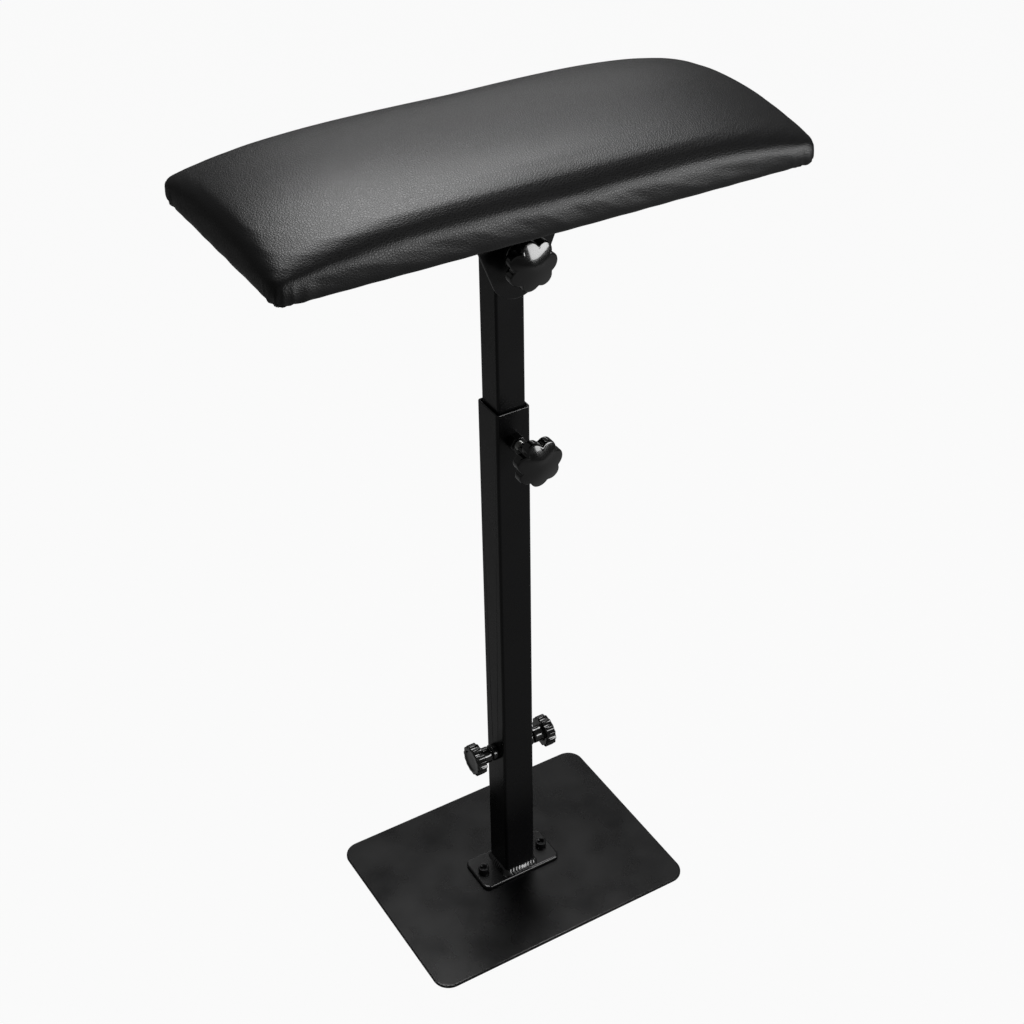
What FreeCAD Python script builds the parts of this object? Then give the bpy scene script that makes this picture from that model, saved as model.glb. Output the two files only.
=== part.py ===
import FreeCAD, Part
import math
import os

import Sketcher
from FreeCAD import Placement, Rotation, Vector

# Arm rest stand: a flat foot plate, a square telescopic post with clamp screws,
# and a padded rest that tilts on an ear at the head of the post.
# Frame: millimetres, +Z up, +X along the pad, -Y towards the star knobs.
# The origin is the middle of the foot plate's underside, on the floor.

doc = FreeCAD.newDocument("ArmRestStand")
sheet = doc.addObject("Spreadsheet::Sheet", "Sizes")

# Driving dimensions, with the name that the model uses for each.
DIMENSIONS = (
    # Foot plate and the flange that carries the post
    ("base_length", 260),
    ("base_width", 196),
    ("base_thickness", 3),
    ("base_corner_radius", 15),
    ("plate_edge_chamfer", 0.5),
    ("flange_length", 80),
    ("flange_width", 40),
    ("flange_thickness", 4),
    ("flange_corner_radius", 6),
    ("bolt_pitch", 62),
    ("bolt_diameter", 6),
    ("bolt_hole_clearance", 0.25),
    ("bolt_head_diameter", 10),
    ("bolt_head_height", 6),
    ("bolt_socket_across", 5),
    ("bolt_socket_depth", 3),
    ("bolt_head_chamfer", 0.6),
    # Outer tube, fixed to the flange
    ("post_outer", 30),
    ("post_wall", 2),
    ("post_length", 505),
    ("post_corner_radius", 2.5),
    ("weld_leg", 3.2),
    # Inner tube, which slides in the outer one
    ("mast_outer", 25),
    ("mast_wall", 1.5),
    ("mast_length", 540),
    ("mast_corner_radius", 2.2),
    ("mast_showing", 152),
    ("plug_head_thickness", 2.5),
    ("plug_stem_length", 9),
    ("plug_stem_wall", 2),
    ("plug_edge_chamfer", 0.6),
    ("plug_clearance", 0.1),
    # M8 clamp screws with star knobs, and the nuts welded to the tubes
    ("stud_diameter", 8),
    ("thread_clearance", 0.06),
    ("running_gap", 0.1),
    ("tip_gap", 0.3),
    ("hole_clearance", 0.5),
    ("nut_across", 13),
    ("nut_height", 8),
    ("nut_chamfer", 0.9),
    ("clamp_drop", 27),
    ("stud_bare_length", 10),
    ("stud_seat_depth", 16),
    ("stud_tip_chamfer", 1),
    ("star_radius", 20.5),
    ("star_lobe_radius", 6.6),
    ("star_web_radius", 2.6),
    ("star_depth", 13),
    ("star_front_round", 6),
    ("star_back_chamfer", 1.1),
    ("star_hub_diameter", 19),
    ("star_hub_length", 12.5),
    # M6 side screws with fluted knobs
    ("side_clamp_rise", 28),
    ("side_stud_diameter", 6),
    ("side_nut_diameter", 15),
    ("side_nut_height", 6),
    ("side_stud_bare_length", 1.2),
    ("side_stud_seat_depth", 12),
    ("side_hub_diameter", 14.5),
    ("side_hub_length", 8.5),
    ("side_head_diameter", 30.5),
    ("side_head_depth", 9.5),
    ("side_flute_radius", 2.1),
    ("side_edge_chamfer", 1.1),
    # Tilting ear under the pad
    ("tilt_drop", 14),
    ("ear_thickness", 3),
    ("ear_end_radius", 21),
    ("ear_drop", 36),
    ("ear_shoulder_rise", 8),
    ("ear_width", 64),
    ("ear_shoulder_round", 8),
    ("ear_rise", 46.4),
    ("bracket_bend_radius", 3),
    ("bracket_hole_pitch_x", 44),
    ("bracket_hole_pitch_y", 24),
    ("washer_diameter", 20),
    ("washer_thickness", 1.6),
    ("bracket_screw_diameter", 6),
    ("bracket_screw_length", 14),
    ("bracket_screw_head_diameter", 11),
    ("bracket_screw_head_height", 3.4),
    ("bracket_screw_head_chamfer", 1.2),
    ("bracket_screw_socket_across", 4),
    ("bracket_screw_socket_depth", 2),
    # Pad
    ("pad_length", 430),
    ("pad_width", 186),
    ("pad_height", 53),
    ("pad_corner_radius", 15),
    ("leather_thickness", 1.2),
    ("layer_gap", 0.3),
    ("leather_turn_in", 26),
    ("board_thickness", 12),
    ("underside_cloth_thickness", 0.6),
    ("underside_cloth_inset", 12),
    ("tee_nut_barrel_diameter", 8),
    ("tee_nut_barrel_length", 9),
    ("tee_nut_flange_diameter", 17),
    ("tee_nut_flange_thickness", 1.5),
)

# Counts of what repeats round a knob.
STAR_LOBES = 7
SIDE_FLUTES = 14

# The height knob rests turned by this many degrees, the others have a lobe level.
HEIGHT_KNOB_TURN = 8

# The weld's outer slope takes this share of its leg.
WELD_SLOPE_SHARE = 0.8

# A round edge is cut as three flats that touch a quarter circle: the middle flat takes
# the first share of its radius, and the flats beside it each take the second share.
MIDDLE_FLAT_SHARE = 0.586
OUTER_FLAT_SHARE = 0.215

# The pad's form, as shares of its width and height. The side stands upright up to the
# ridge. Above it a shoulder turns over as a superellipse, to a top that is crowned across
# the pad and arched along it, so that the top's middle is highest and its corners lowest.
TUCK_HEIGHT_SHARE = 0.12
TUCK_INSET_SHARE = 0.012
RIDGE_HEIGHT_SHARE = 0.21
SHOULDER_REACH_SHARE = 0.15
SHOULDER_POWER = 2.4
CROWN_DROP_SHARE = 0.3
CROWN_POWER = 1.4
ARCH_DROP_SHARE = 0.27
ARCH_POWER = 4.3

# Where the pad's cross-sections stand: at these turns round a plan corner, and at these
# shares of the way from the middle to the corner. Then the corners of a cross-section:
# at these shares of the shoulder, and at this share of the way from it to the middle.
CORNER_TURNS = (0, 30, 60)
ARCH_RUNS = (1, 0.87, 0.7, 0.45)
SHOULDER_RUNS = (0.08, 0.28, 0.6, 1)
CROWN_RUN = 0.5

# Lengths nearer than this are the same, and so are directions this near to parallel.
SAME_LENGTH = 1e-6
SAME_WAY = 0.999

for row, (alias, size) in enumerate(DIMENSIONS, start=1):
    sheet.set(f"A{row}", alias)
    sheet.set(f"B{row}", str(size))
    sheet.setAlias(f"B{row}", alias)
doc.recompute()

NODES = []


def number(expression):
    """Value of an expression over the sheet's cells."""
    return float(sheet.evalExpression(expression))


def new_body(label, x="0", y="0", z="0", turn=None):
    """A body for one sub-part, placed by expressions and turned about its own origin."""
    body = doc.addObject("PartDesign::Body", label)
    body.Label = label
    body.AllowCompound = True
    if turn:
        body.Placement = Placement(Vector(), turn)
    for axis, place in zip("xyz", (x, y, z)):
        if place != "0":
            body.setExpression(f"Placement.Base.{axis}", place)
    NODES.append(body)
    return body


def new_sketch(body, name, role="XY_Plane", lift=None):
    """A sketch on one of the body's own origin planes, or on a level above it."""
    sketch = body.newObject("Sketcher::SketchObject", f"{body.Name}_{name}")
    plane = next(item for item in body.Origin.OriginFeatures if item.Role == role)
    sketch.AttachmentSupport = (plane, [""])
    sketch.MapMode = "FlatFace"
    if lift:
        sketch.setExpression("AttachmentOffset.Base.z", lift)
    return sketch


def constrain(sketch, kind, *arguments):
    return sketch.addConstraint(Sketcher.Constraint(kind, *arguments))


def measure(sketch, kind, *arguments, size):
    """A dimension that follows an expression."""
    index = constrain(sketch, kind, *arguments, number(size))
    name = f"{kind.lower()}_{index}"
    sketch.renameConstraint(index, name)
    sketch.setExpression(f"Constraints.{name}", size)


def locate(sketch, element, point, x, y):
    """Holds a point of the sketch at a place given by two expressions."""
    for kind, place, axis in (("DistanceX", x, -2), ("DistanceY", y, -1)):
        value = number(place)
        if value == 0:
            constrain(sketch, "PointOnObject", element, point, axis)
        elif value > 0:
            measure(sketch, kind, -1, 1, element, point, size=place)
        else:
            measure(sketch, kind, element, point, -1, 1, size=f"-({place})")


def outline(sketch, corners):
    """A closed run of straight sides through corners given as pairs of expressions."""
    points = [Vector(number(x), number(y), 0) for x, y in corners]
    count = len(points)
    sides = [
        sketch.addGeometry(Part.LineSegment(points[k], points[(k + 1) % count]))
        for k in range(count)
    ]
    for k in range(count):
        constrain(sketch, "Coincident", sides[k], 2, sides[(k + 1) % count], 1)
        locate(sketch, sides[k], 1, *corners[k])
    return sides


def circle(sketch, diameter, x="0", y="0"):
    centre = Vector(number(x), number(y), 0)
    ring = sketch.addGeometry(Part.Circle(centre, Vector(0, 0, 1), number(diameter) / 2))
    locate(sketch, ring, 3, x, y)
    measure(sketch, "Diameter", ring, size=diameter)
    return ring


def hexagon(sketch, across_flats, x="0", y="0"):
    """Six equal sides on a construction circle, with a corner level with its centre."""
    reach = number(across_flats) / math.sqrt(3)
    centre = Vector(number(x), number(y), 0)
    corners = [
        centre + Vector(reach * math.cos(k * math.pi / 3), reach * math.sin(k * math.pi / 3), 0)
        for k in range(6)
    ]
    sides = [
        sketch.addGeometry(Part.LineSegment(corners[k], corners[(k + 1) % 6])) for k in range(6)
    ]
    ring = sketch.addGeometry(Part.Circle(centre, Vector(0, 0, 1), reach), True)
    locate(sketch, ring, 3, x, y)
    for k in range(6):
        constrain(sketch, "Coincident", sides[k], 2, sides[(k + 1) % 6], 1)
        constrain(sketch, "PointOnObject", sides[k], 1, ring)
        if k:
            constrain(sketch, "Equal", sides[0], sides[k])
    constrain(sketch, "Horizontal", ring, 3, sides[0], 1)
    measure(sketch, "Diameter", ring, size=f"{across_flats} / cos(30)")


def rounded_rectangle(sketch, length, width, radius):
    """A rectangle about the sketch's origin whose corners are quarter circles."""
    half_x, half_y, round_ = number(length) / 2, number(width) / 2, number(radius)
    inner_x, inner_y = half_x - round_, half_y - round_
    ends = (
        ((-inner_x, -half_y), (inner_x, -half_y), (inner_x, -inner_y)),
        ((half_x, -inner_y), (half_x, inner_y), (inner_x, inner_y)),
        ((inner_x, half_y), (-inner_x, half_y), (-inner_x, inner_y)),
        ((-half_x, inner_y), (-half_x, -inner_y), (-inner_x, -inner_y)),
    )
    sides, bends = [], []
    for k, (start, end, centre) in enumerate(ends):
        sides.append(sketch.addGeometry(Part.LineSegment(Vector(*start, 0), Vector(*end, 0))))
        ring = Part.Circle(Vector(*centre, 0), Vector(0, 0, 1), round_)
        first = math.radians(90 * k - 90)
        bends.append(sketch.addGeometry(Part.ArcOfCircle(ring, first, first + math.pi / 2)))
    for k in range(4):
        constrain(sketch, "Tangent", sides[k], 2, bends[k], 1)
        constrain(sketch, "Tangent", bends[k], 2, sides[(k + 1) % 4], 1)
        constrain(sketch, "Vertical" if k % 2 else "Horizontal", sides[k])
        if k:
            constrain(sketch, "Equal", bends[0], bends[k])
    constrain(sketch, "Symmetric", bends[0], 3, bends[2], 3, -1, 1)
    measure(sketch, "DistanceX", sides[3], 1, sides[1], 1, size=length)
    measure(sketch, "DistanceY", sides[0], 1, sides[2], 1, size=width)
    measure(sketch, "Radius", bends[0], size=radius)


def feature(body, kind, name, **properties):
    """A PartDesign feature, made the body's tip, with its lengths bound to expressions."""
    made = body.newObject(f"PartDesign::{kind}", f"{body.Name}_{name}")
    for key, value in properties.items():
        if isinstance(value, str) and key in ("Length", "Radius", "Size"):
            made.setExpression(key, value)
        else:
            setattr(made, key, value)
    body.Tip = made
    return made


def pad(body, name, sketch, length, **properties):
    return feature(body, "Pad", name, Profile=sketch, Length=length, **properties)


def pocket(body, name, sketch, length=None, **properties):
    """A cut along the sketch's normal side, to a depth or through everything."""
    if length is None:
        return feature(body, "Pocket", name, Profile=sketch, Type="ThroughAll", **properties)
    return feature(body, "Pocket", name, Profile=sketch, Length=length, **properties)


def edges_where(made, test):
    """Names of the edges of a feature's shape that pass a test."""
    doc.recompute()
    return [f"Edge{k}" for k, edge in enumerate(made.Shape.Edges, start=1) if test(edge)]


def is_straight_along(edge, axis):
    """True for a straight edge along the x, y or z axis."""
    if not isinstance(edge.Curve, Part.Line):
        return False
    return abs(getattr(edge.tangentAt(edge.FirstParameter), axis)) > SAME_WAY


def is_upright(edge):
    return is_straight_along(edge, "z")


def axis_distance(edge):
    """How far the middle of an edge is from the body's Z axis."""
    middle = edge.valueAt((edge.FirstParameter + edge.LastParameter) / 2)
    return math.hypot(middle.x, middle.y)


def is_outside(edge, reach):
    """True for an edge whose box comes further out than a distance along X or Y."""
    box = edge.BoundBox
    return max(abs(box.XMin), abs(box.XMax), abs(box.YMin), abs(box.YMax)) > reach


def lies_at(level):
    """A test for edges that lie flat at a height given by an expression."""
    height = number(level)

    def is_there(edge):
        box = edge.BoundBox
        return max(abs(box.ZMin - height), abs(box.ZMax - height)) < SAME_LENGTH

    return is_there


def runs_along_x_at(edge, y, z):
    """True for a straight edge along X at a depth and a height."""
    box = edge.BoundBox
    off = max(abs(box.YMin - y), abs(box.YMax - y), abs(box.ZMin - z), abs(box.ZMax - z))
    return is_straight_along(edge, "x") and off < SAME_LENGTH


# Heights that several pieces share.
FLANGE_TOP = "Sizes.base_thickness + Sizes.flange_thickness"
POST_TOP = f"{FLANGE_TOP} + Sizes.post_length"
MAST_TOP = f"{POST_TOP} + Sizes.mast_showing"
HEIGHT_CLAMP = f"{POST_TOP} - Sizes.clamp_drop"
SIDE_CLAMPS = f"{MAST_TOP} - Sizes.mast_length + Sizes.side_clamp_rise"
PIVOT = f"{MAST_TOP} - Sizes.tilt_drop"
PAD_UNDERSIDE = f"{PIVOT} + Sizes.ear_rise + Sizes.underside_cloth_thickness"
# Distances from the post's axis to the faces that clamp parts stand on.
POST_FACE = "Sizes.post_outer / 2"
MAST_FACE = "Sizes.mast_outer / 2"
EAR_BACK = f"{MAST_FACE} + Sizes.nut_height + Sizes.running_gap"
WASHER_BACK = f"{EAR_BACK} + Sizes.ear_thickness"
TILT_HUB_BACK = f"{WASHER_BACK} + Sizes.washer_thickness + Sizes.running_gap"
HEIGHT_HUB_BACK = f"{POST_FACE} + Sizes.nut_height + Sizes.stud_bare_length"
SIDE_HUB_BACK = f"{POST_FACE} + Sizes.side_nut_height + Sizes.side_stud_bare_length"

# Turns that point a body's own +Z to the front, left and right of the post.
TO_FRONT = Rotation(Vector(1, 0, 0), 90)
TO_LEFT = Rotation(Vector(0, 1, 0), -90)
TO_RIGHT = Rotation(Vector(0, 1, 0), 90)


def plate(label, length, width, thickness, corner_radius, holes, hole_diameter, **place):
    """A flat plate with round corners, a chamfered upper edge and holes."""
    body = new_body(label, **place)
    face = new_sketch(body, "face")
    rounded_rectangle(face, length, width, corner_radius)
    slab = pad(body, "slab", face, thickness)
    feature(
        body, "Chamfer", "eased", Size="Sizes.plate_edge_chamfer",
        Base=(slab, edges_where(slab, lies_at(thickness))),
    )
    hole_face = new_sketch(body, "holes")
    for x, y in holes:
        circle(hole_face, hole_diameter, x, y)
    pocket(body, "drilled", hole_face, Midplane=True)


def make_foot():
    bolts = (("Sizes.bolt_pitch / 2", "0"), ("-Sizes.bolt_pitch / 2", "0"))
    plate(
        "base_plate", "Sizes.base_length", "Sizes.base_width", "Sizes.base_thickness",
        "Sizes.base_corner_radius", bolts, "Sizes.bolt_diameter + 2 * Sizes.thread_clearance",
    )
    plate(
        "post_flange", "Sizes.flange_length", "Sizes.flange_width", "Sizes.flange_thickness",
        "Sizes.flange_corner_radius", bolts, "Sizes.bolt_diameter + 2 * Sizes.bolt_hole_clearance",
        z="Sizes.base_thickness",
    )
    # Two socket head screws hold the flange to the plate, their tips level with its underside.
    screws = new_body("flange_bolts", z=FLANGE_TOP)
    heads = new_sketch(screws, "heads")
    shanks = new_sketch(screws, "shanks")
    sockets = new_sketch(screws, "sockets", lift="Sizes.bolt_head_height")
    for x, y in bolts:
        circle(heads, "Sizes.bolt_head_diameter", x, y)
        circle(shanks, "Sizes.bolt_diameter", x, y)
        hexagon(sockets, "Sizes.bolt_socket_across", x, y)
    head = pad(screws, "head", heads, "Sizes.bolt_head_height")
    feature(
        screws, "Chamfer", "rim", Size="Sizes.bolt_head_chamfer",
        Base=(head, edges_where(head, lies_at("Sizes.bolt_head_height"))),
    )
    pad(screws, "shank", shanks, FLANGE_TOP, Reversed=True)
    pocket(screws, "socket", sockets, "Sizes.bolt_socket_depth")


def square_tube(label, outer, wall, corner_radius, length, **place):
    body = new_body(label, **place)
    skin = new_sketch(body, "section")
    rounded_rectangle(skin, outer, outer, corner_radius)
    bore = f"{outer} - 2 * {wall}"
    rounded_rectangle(skin, bore, bore, f"max({corner_radius} - {wall}; {corner_radius} / 4)")
    pad(body, "length", skin, length)
    return body


def make_post():
    post = square_tube(
        "lower_tube", "Sizes.post_outer", "Sizes.post_wall", "Sizes.post_corner_radius",
        "Sizes.post_length", z=FLANGE_TOP,
    )
    front_hole = new_sketch(post, "clamp_hole", "XZ_Plane")
    circle(
        front_hole, "Sizes.stud_diameter + 2 * Sizes.hole_clearance",
        "0", "Sizes.post_length - Sizes.clamp_drop",
    )
    pocket(post, "clamp_drilled", front_hole, "Sizes.post_outer", Reversed=True)
    side_holes = new_sketch(post, "side_holes", "YZ_Plane")
    circle(
        side_holes, "Sizes.side_stud_diameter + 2 * Sizes.hole_clearance",
        "0", f"{SIDE_CLAMPS} - ({FLANGE_TOP})",
    )
    pocket(post, "side_drilled", side_holes, Midplane=True)

    # The weld is a sloping bead all round the foot of the tube.
    weld = new_body("foot_weld", z=FLANGE_TOP)
    ring = new_sketch(weld, "ring")
    outer = "Sizes.post_outer + 2 * Sizes.weld_leg"
    rounded_rectangle(ring, outer, outer, "Sizes.post_corner_radius + Sizes.weld_leg")
    rounded_rectangle(ring, "Sizes.post_outer", "Sizes.post_outer", "Sizes.post_corner_radius")
    bead = pad(weld, "bead", ring, "Sizes.weld_leg")
    reach = number("Sizes.post_outer / 2 + Sizes.weld_leg / 2")
    top = lies_at("Sizes.weld_leg")
    outer_top = edges_where(bead, lambda edge: top(edge) and is_outside(edge, reach))
    feature(
        weld, "Chamfer", "slope", Size=f"{WELD_SLOPE_SHARE} * Sizes.weld_leg",
        Base=(bead, outer_top),
    )


def hex_nut(label, turn, **place):
    """A hexagon nut that stands on its weld face, its outer corners cut to a cone."""
    body = new_body(label, turn=turn, **place)
    flats = new_sketch(body, "flats")
    hexagon(flats, "Sizes.nut_across")
    pad(body, "prism", flats, "Sizes.nut_height")
    cone = new_sketch(body, "cone", "XZ_Plane")
    corner = "Sizes.nut_across"
    outline(cone, (
        ("Sizes.nut_across / 2 - Sizes.nut_chamfer / 2", "Sizes.nut_height"),
        (corner, "Sizes.nut_height"),
        (corner, f"Sizes.nut_height - ({corner} / 2 + Sizes.nut_chamfer / 2) * tan(30)"),
    ))
    axis = next(item for item in body.Origin.OriginFeatures if item.Role == "Z_Axis")
    feature(body, "Groove", "corners", Profile=cone, ReferenceAxis=(axis, [""]), Angle=360)
    bore = new_sketch(body, "bore")
    circle(bore, "Sizes.stud_diameter + 2 * Sizes.thread_clearance")
    pocket(body, "bored", bore, Midplane=True)
    return body


def ring_nut(label, turn, **place):
    """The round nut that a side screw runs in."""
    body = new_body(label, turn=turn, **place)
    face = new_sketch(body, "face")
    circle(face, "Sizes.side_nut_diameter")
    circle(face, "Sizes.side_stud_diameter + 2 * Sizes.thread_clearance")
    barrel = pad(body, "barrel", face, "Sizes.side_nut_height")
    limit = number("Sizes.side_nut_diameter / 2 - Sizes.nut_chamfer")
    top = lies_at("Sizes.side_nut_height")
    rim = edges_where(barrel, lambda edge: top(edge) and is_outside(edge, limit))
    feature(body, "Chamfer", "rim", Size="Sizes.nut_chamfer", Base=(barrel, rim))
    return body


def threaded_stud(label, diameter, inward, outward, turn, **place):
    """A plain screw shank: inward to the chamfered tip, outward to its seat in the knob."""
    body = new_body(label, turn=turn, **place)
    face = new_sketch(body, "face")
    circle(face, diameter)
    seat = pad(body, "seat", face, outward)
    shank = pad(body, "shank", face, inward, Reversed=True)
    tip = edges_where(shank, lies_at(f"-({inward})"))
    feature(body, "Chamfer", "tip", Size="Sizes.stud_tip_chamfer", Base=(shank, tip))
    return body


def star_grip(label, turn, **place):
    """A lobed plastic knob on a round hub, its back at the body's own origin."""
    body = new_body(label, turn=turn, **place)
    hub = new_sketch(body, "hub")
    circle(hub, "Sizes.star_hub_diameter")
    pad(body, "neck", hub, "Sizes.star_hub_length + Sizes.star_depth / 2")
    lobe_place = "Sizes.star_radius - Sizes.star_lobe_radius"
    core = new_sketch(body, "core", lift="Sizes.star_hub_length")
    circle(core, f"2 * ({lobe_place})")
    pad(body, "middle", core, "Sizes.star_depth")
    lobe = new_sketch(body, "lobe", lift="Sizes.star_hub_length")
    circle(lobe, "2 * Sizes.star_lobe_radius", lobe_place, "0")
    one = pad(body, "lobe_one", lobe, "Sizes.star_depth")
    around = feature(
        body, "PolarPattern", "lobes", Originals=[one], Axis=(lobe, ["N_Axis"]),
        Angle=360, Occurrences=STAR_LOBES,
    )
    # Neighbouring lobes meet between the ring of their centres and their tips.
    ring, tips = number(lobe_place), number("Sizes.star_radius - Sizes.star_lobe_radius / 2")
    webs = edges_where(
        around, lambda edge: is_upright(edge) and ring < axis_distance(edge) < tips,
    )
    soft = feature(body, "Fillet", "webs", Radius="Sizes.star_web_radius", Base=(around, webs))
    front = "Sizes.star_hub_length + Sizes.star_depth"
    middle_flat = f"{MIDDLE_FLAT_SHARE} * Sizes.star_front_round"
    rim = edges_where(soft, lies_at(front))
    cut = feature(body, "Chamfer", "front", Size=middle_flat, Base=(soft, rim))
    ends = (lies_at(front), lies_at(f"{front} - {middle_flat}"))
    rims = edges_where(cut, lambda edge: ends[0](edge) or ends[1](edge))
    domed = feature(
        body, "Chamfer", "dome", Size=f"{OUTER_FLAT_SHARE} * Sizes.star_front_round",
        Base=(cut, rims),
    )
    reach = number("Sizes.star_hub_diameter / 2 + Sizes.star_back_chamfer")
    level = lies_at("Sizes.star_hub_length")
    back = edges_where(domed, lambda edge: level(edge) and is_outside(edge, reach))
    feature(body, "Chamfer", "back", Size="Sizes.star_back_chamfer", Base=(domed, back))
    seat = new_sketch(body, "seat")
    circle(seat, "Sizes.stud_diameter + 2 * Sizes.thread_clearance")
    pocket(body, "bored", seat, "Sizes.stud_seat_depth + Sizes.layer_gap", Reversed=True)
    return body


def fluted_grip(label, turn, **place):
    """A small round knob with flutes round its rim, its hub's back at the origin."""
    body = new_body(label, turn=turn, **place)
    hub = new_sketch(body, "hub")
    circle(hub, "Sizes.side_hub_diameter")
    pad(body, "neck", hub, "Sizes.side_hub_length + Sizes.side_head_depth / 2")
    disc = new_sketch(body, "disc", lift="Sizes.side_hub_length")
    circle(disc, "Sizes.side_head_diameter")
    head = pad(body, "head", disc, "Sizes.side_head_depth")
    front = lies_at("Sizes.side_hub_length + Sizes.side_head_depth")
    back = lies_at("Sizes.side_hub_length")
    reach = number("Sizes.side_hub_diameter / 2 + Sizes.side_edge_chamfer")
    rims = edges_where(
        head, lambda edge: front(edge) or (back(edge) and is_outside(edge, reach)),
    )
    feature(body, "Chamfer", "rims", Size="Sizes.side_edge_chamfer", Base=(head, rims))
    flute = new_sketch(body, "flute", lift="Sizes.side_hub_length")
    circle(flute, "2 * Sizes.side_flute_radius", "Sizes.side_head_diameter / 2", "0")
    one = pocket(body, "flute_one", flute, "Sizes.side_head_depth", Reversed=True)
    feature(
        body, "PolarPattern", "flutes", Originals=[one], Axis=(flute, ["N_Axis"]),
        Angle=360, Occurrences=SIDE_FLUTES,
    )
    seat = new_sketch(body, "seat")
    circle(seat, "Sizes.side_stud_diameter + 2 * Sizes.thread_clearance")
    pocket(body, "bored", seat, "Sizes.side_stud_seat_depth + Sizes.layer_gap", Reversed=True)
    return body


def make_height_clamp():
    """Nut and star screw that hold the inner tube at its height."""
    hex_nut("height_clamp_nut", TO_FRONT, y=f"-({POST_FACE})", z=HEIGHT_CLAMP)
    place = {"y": f"-({HEIGHT_HUB_BACK})", "z": HEIGHT_CLAMP}
    turned = TO_FRONT * Rotation(Vector(0, 0, 1), HEIGHT_KNOB_TURN)
    star_grip("height_knob_grip", turned, **place)
    threaded_stud(
        "height_knob_stud", "Sizes.stud_diameter",
        f"{HEIGHT_HUB_BACK} - ({MAST_FACE}) - Sizes.tip_gap", "Sizes.stud_seat_depth",
        TO_FRONT, **place,
    )


def make_side_clamps():
    """The two small screws near the foot that steady the inner tube from either side."""
    for side, sign, turn in (("left", "-", TO_LEFT), ("right", "", TO_RIGHT)):
        ring_nut(f"{side}_clamp_nut", turn, x=f"{sign}({POST_FACE})", z=SIDE_CLAMPS)
        place = {"x": f"{sign}({SIDE_HUB_BACK})", "z": SIDE_CLAMPS}
        fluted_grip(f"{side}_knob_grip", turn, **place)
        threaded_stud(
            f"{side}_knob_stud", "Sizes.side_stud_diameter",
            f"{SIDE_HUB_BACK} - ({MAST_FACE}) - Sizes.tip_gap", "Sizes.side_stud_seat_depth",
            turn, **place,
        )


def tube_plug(label, turn, **place):
    """A moulded plug: a flat head the size of the tube on a hollow square stem."""
    body = new_body(label, turn=turn, **place)
    head_face = new_sketch(body, "head_face")
    rounded_rectangle(head_face, "Sizes.mast_outer", "Sizes.mast_outer", "Sizes.mast_corner_radius")
    head = pad(body, "head", head_face, "Sizes.plug_head_thickness")
    rim = edges_where(head, lies_at("Sizes.plug_head_thickness"))
    feature(body, "Chamfer", "rim", Size="Sizes.plug_edge_chamfer", Base=(head, rim))
    stem_face = new_sketch(body, "stem_face")
    stem = "Sizes.mast_outer - 2 * Sizes.mast_wall - 2 * Sizes.plug_clearance"
    corner = "Sizes.mast_corner_radius / 2"
    hollow = f"{stem} - 2 * Sizes.plug_stem_wall"
    rounded_rectangle(stem_face, stem, stem, corner)
    rounded_rectangle(stem_face, hollow, hollow, corner)
    pad(body, "stem", stem_face, "Sizes.plug_stem_length", Reversed=True)
    return body


def make_mast():
    mast = square_tube(
        "upper_tube", "Sizes.mast_outer", "Sizes.mast_wall", "Sizes.mast_corner_radius",
        "Sizes.mast_length", z=f"{MAST_TOP} - Sizes.mast_length",
    )
    hole = new_sketch(mast, "pivot_hole", "XZ_Plane")
    circle(
        hole, "Sizes.stud_diameter + 2 * Sizes.hole_clearance",
        "0", "Sizes.mast_length - Sizes.tilt_drop",
    )
    pocket(mast, "pivot_drilled", hole, "Sizes.mast_outer", Reversed=True)
    tube_plug("mast_top_plug", None, z=MAST_TOP)
    tube_plug("mast_foot_plug", Rotation(Vector(1, 0, 0), 180), z=f"{MAST_TOP} - Sizes.mast_length")
    hex_nut("tilt_clamp_nut", TO_FRONT, y=f"-({MAST_FACE})", z=PIVOT)


def make_tilt_knob():
    place = {"y": f"-({TILT_HUB_BACK})", "z": PIVOT}
    star_grip("tilt_knob_grip", TO_FRONT, **place)
    threaded_stud(
        "tilt_knob_stud", "Sizes.stud_diameter",
        f"{TILT_HUB_BACK} - ({MAST_FACE}) + Sizes.mast_wall - Sizes.tip_gap",
        "Sizes.stud_seat_depth", TO_FRONT, **place,
    )
    washer = new_body("tilt_washer", turn=TO_FRONT, y=f"-({WASHER_BACK})", z=PIVOT)
    face = new_sketch(washer, "face")
    circle(face, "Sizes.washer_diameter")
    circle(face, "Sizes.stud_diameter + 2 * Sizes.thread_clearance")
    pad(washer, "disc", face, "Sizes.washer_thickness")


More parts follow.
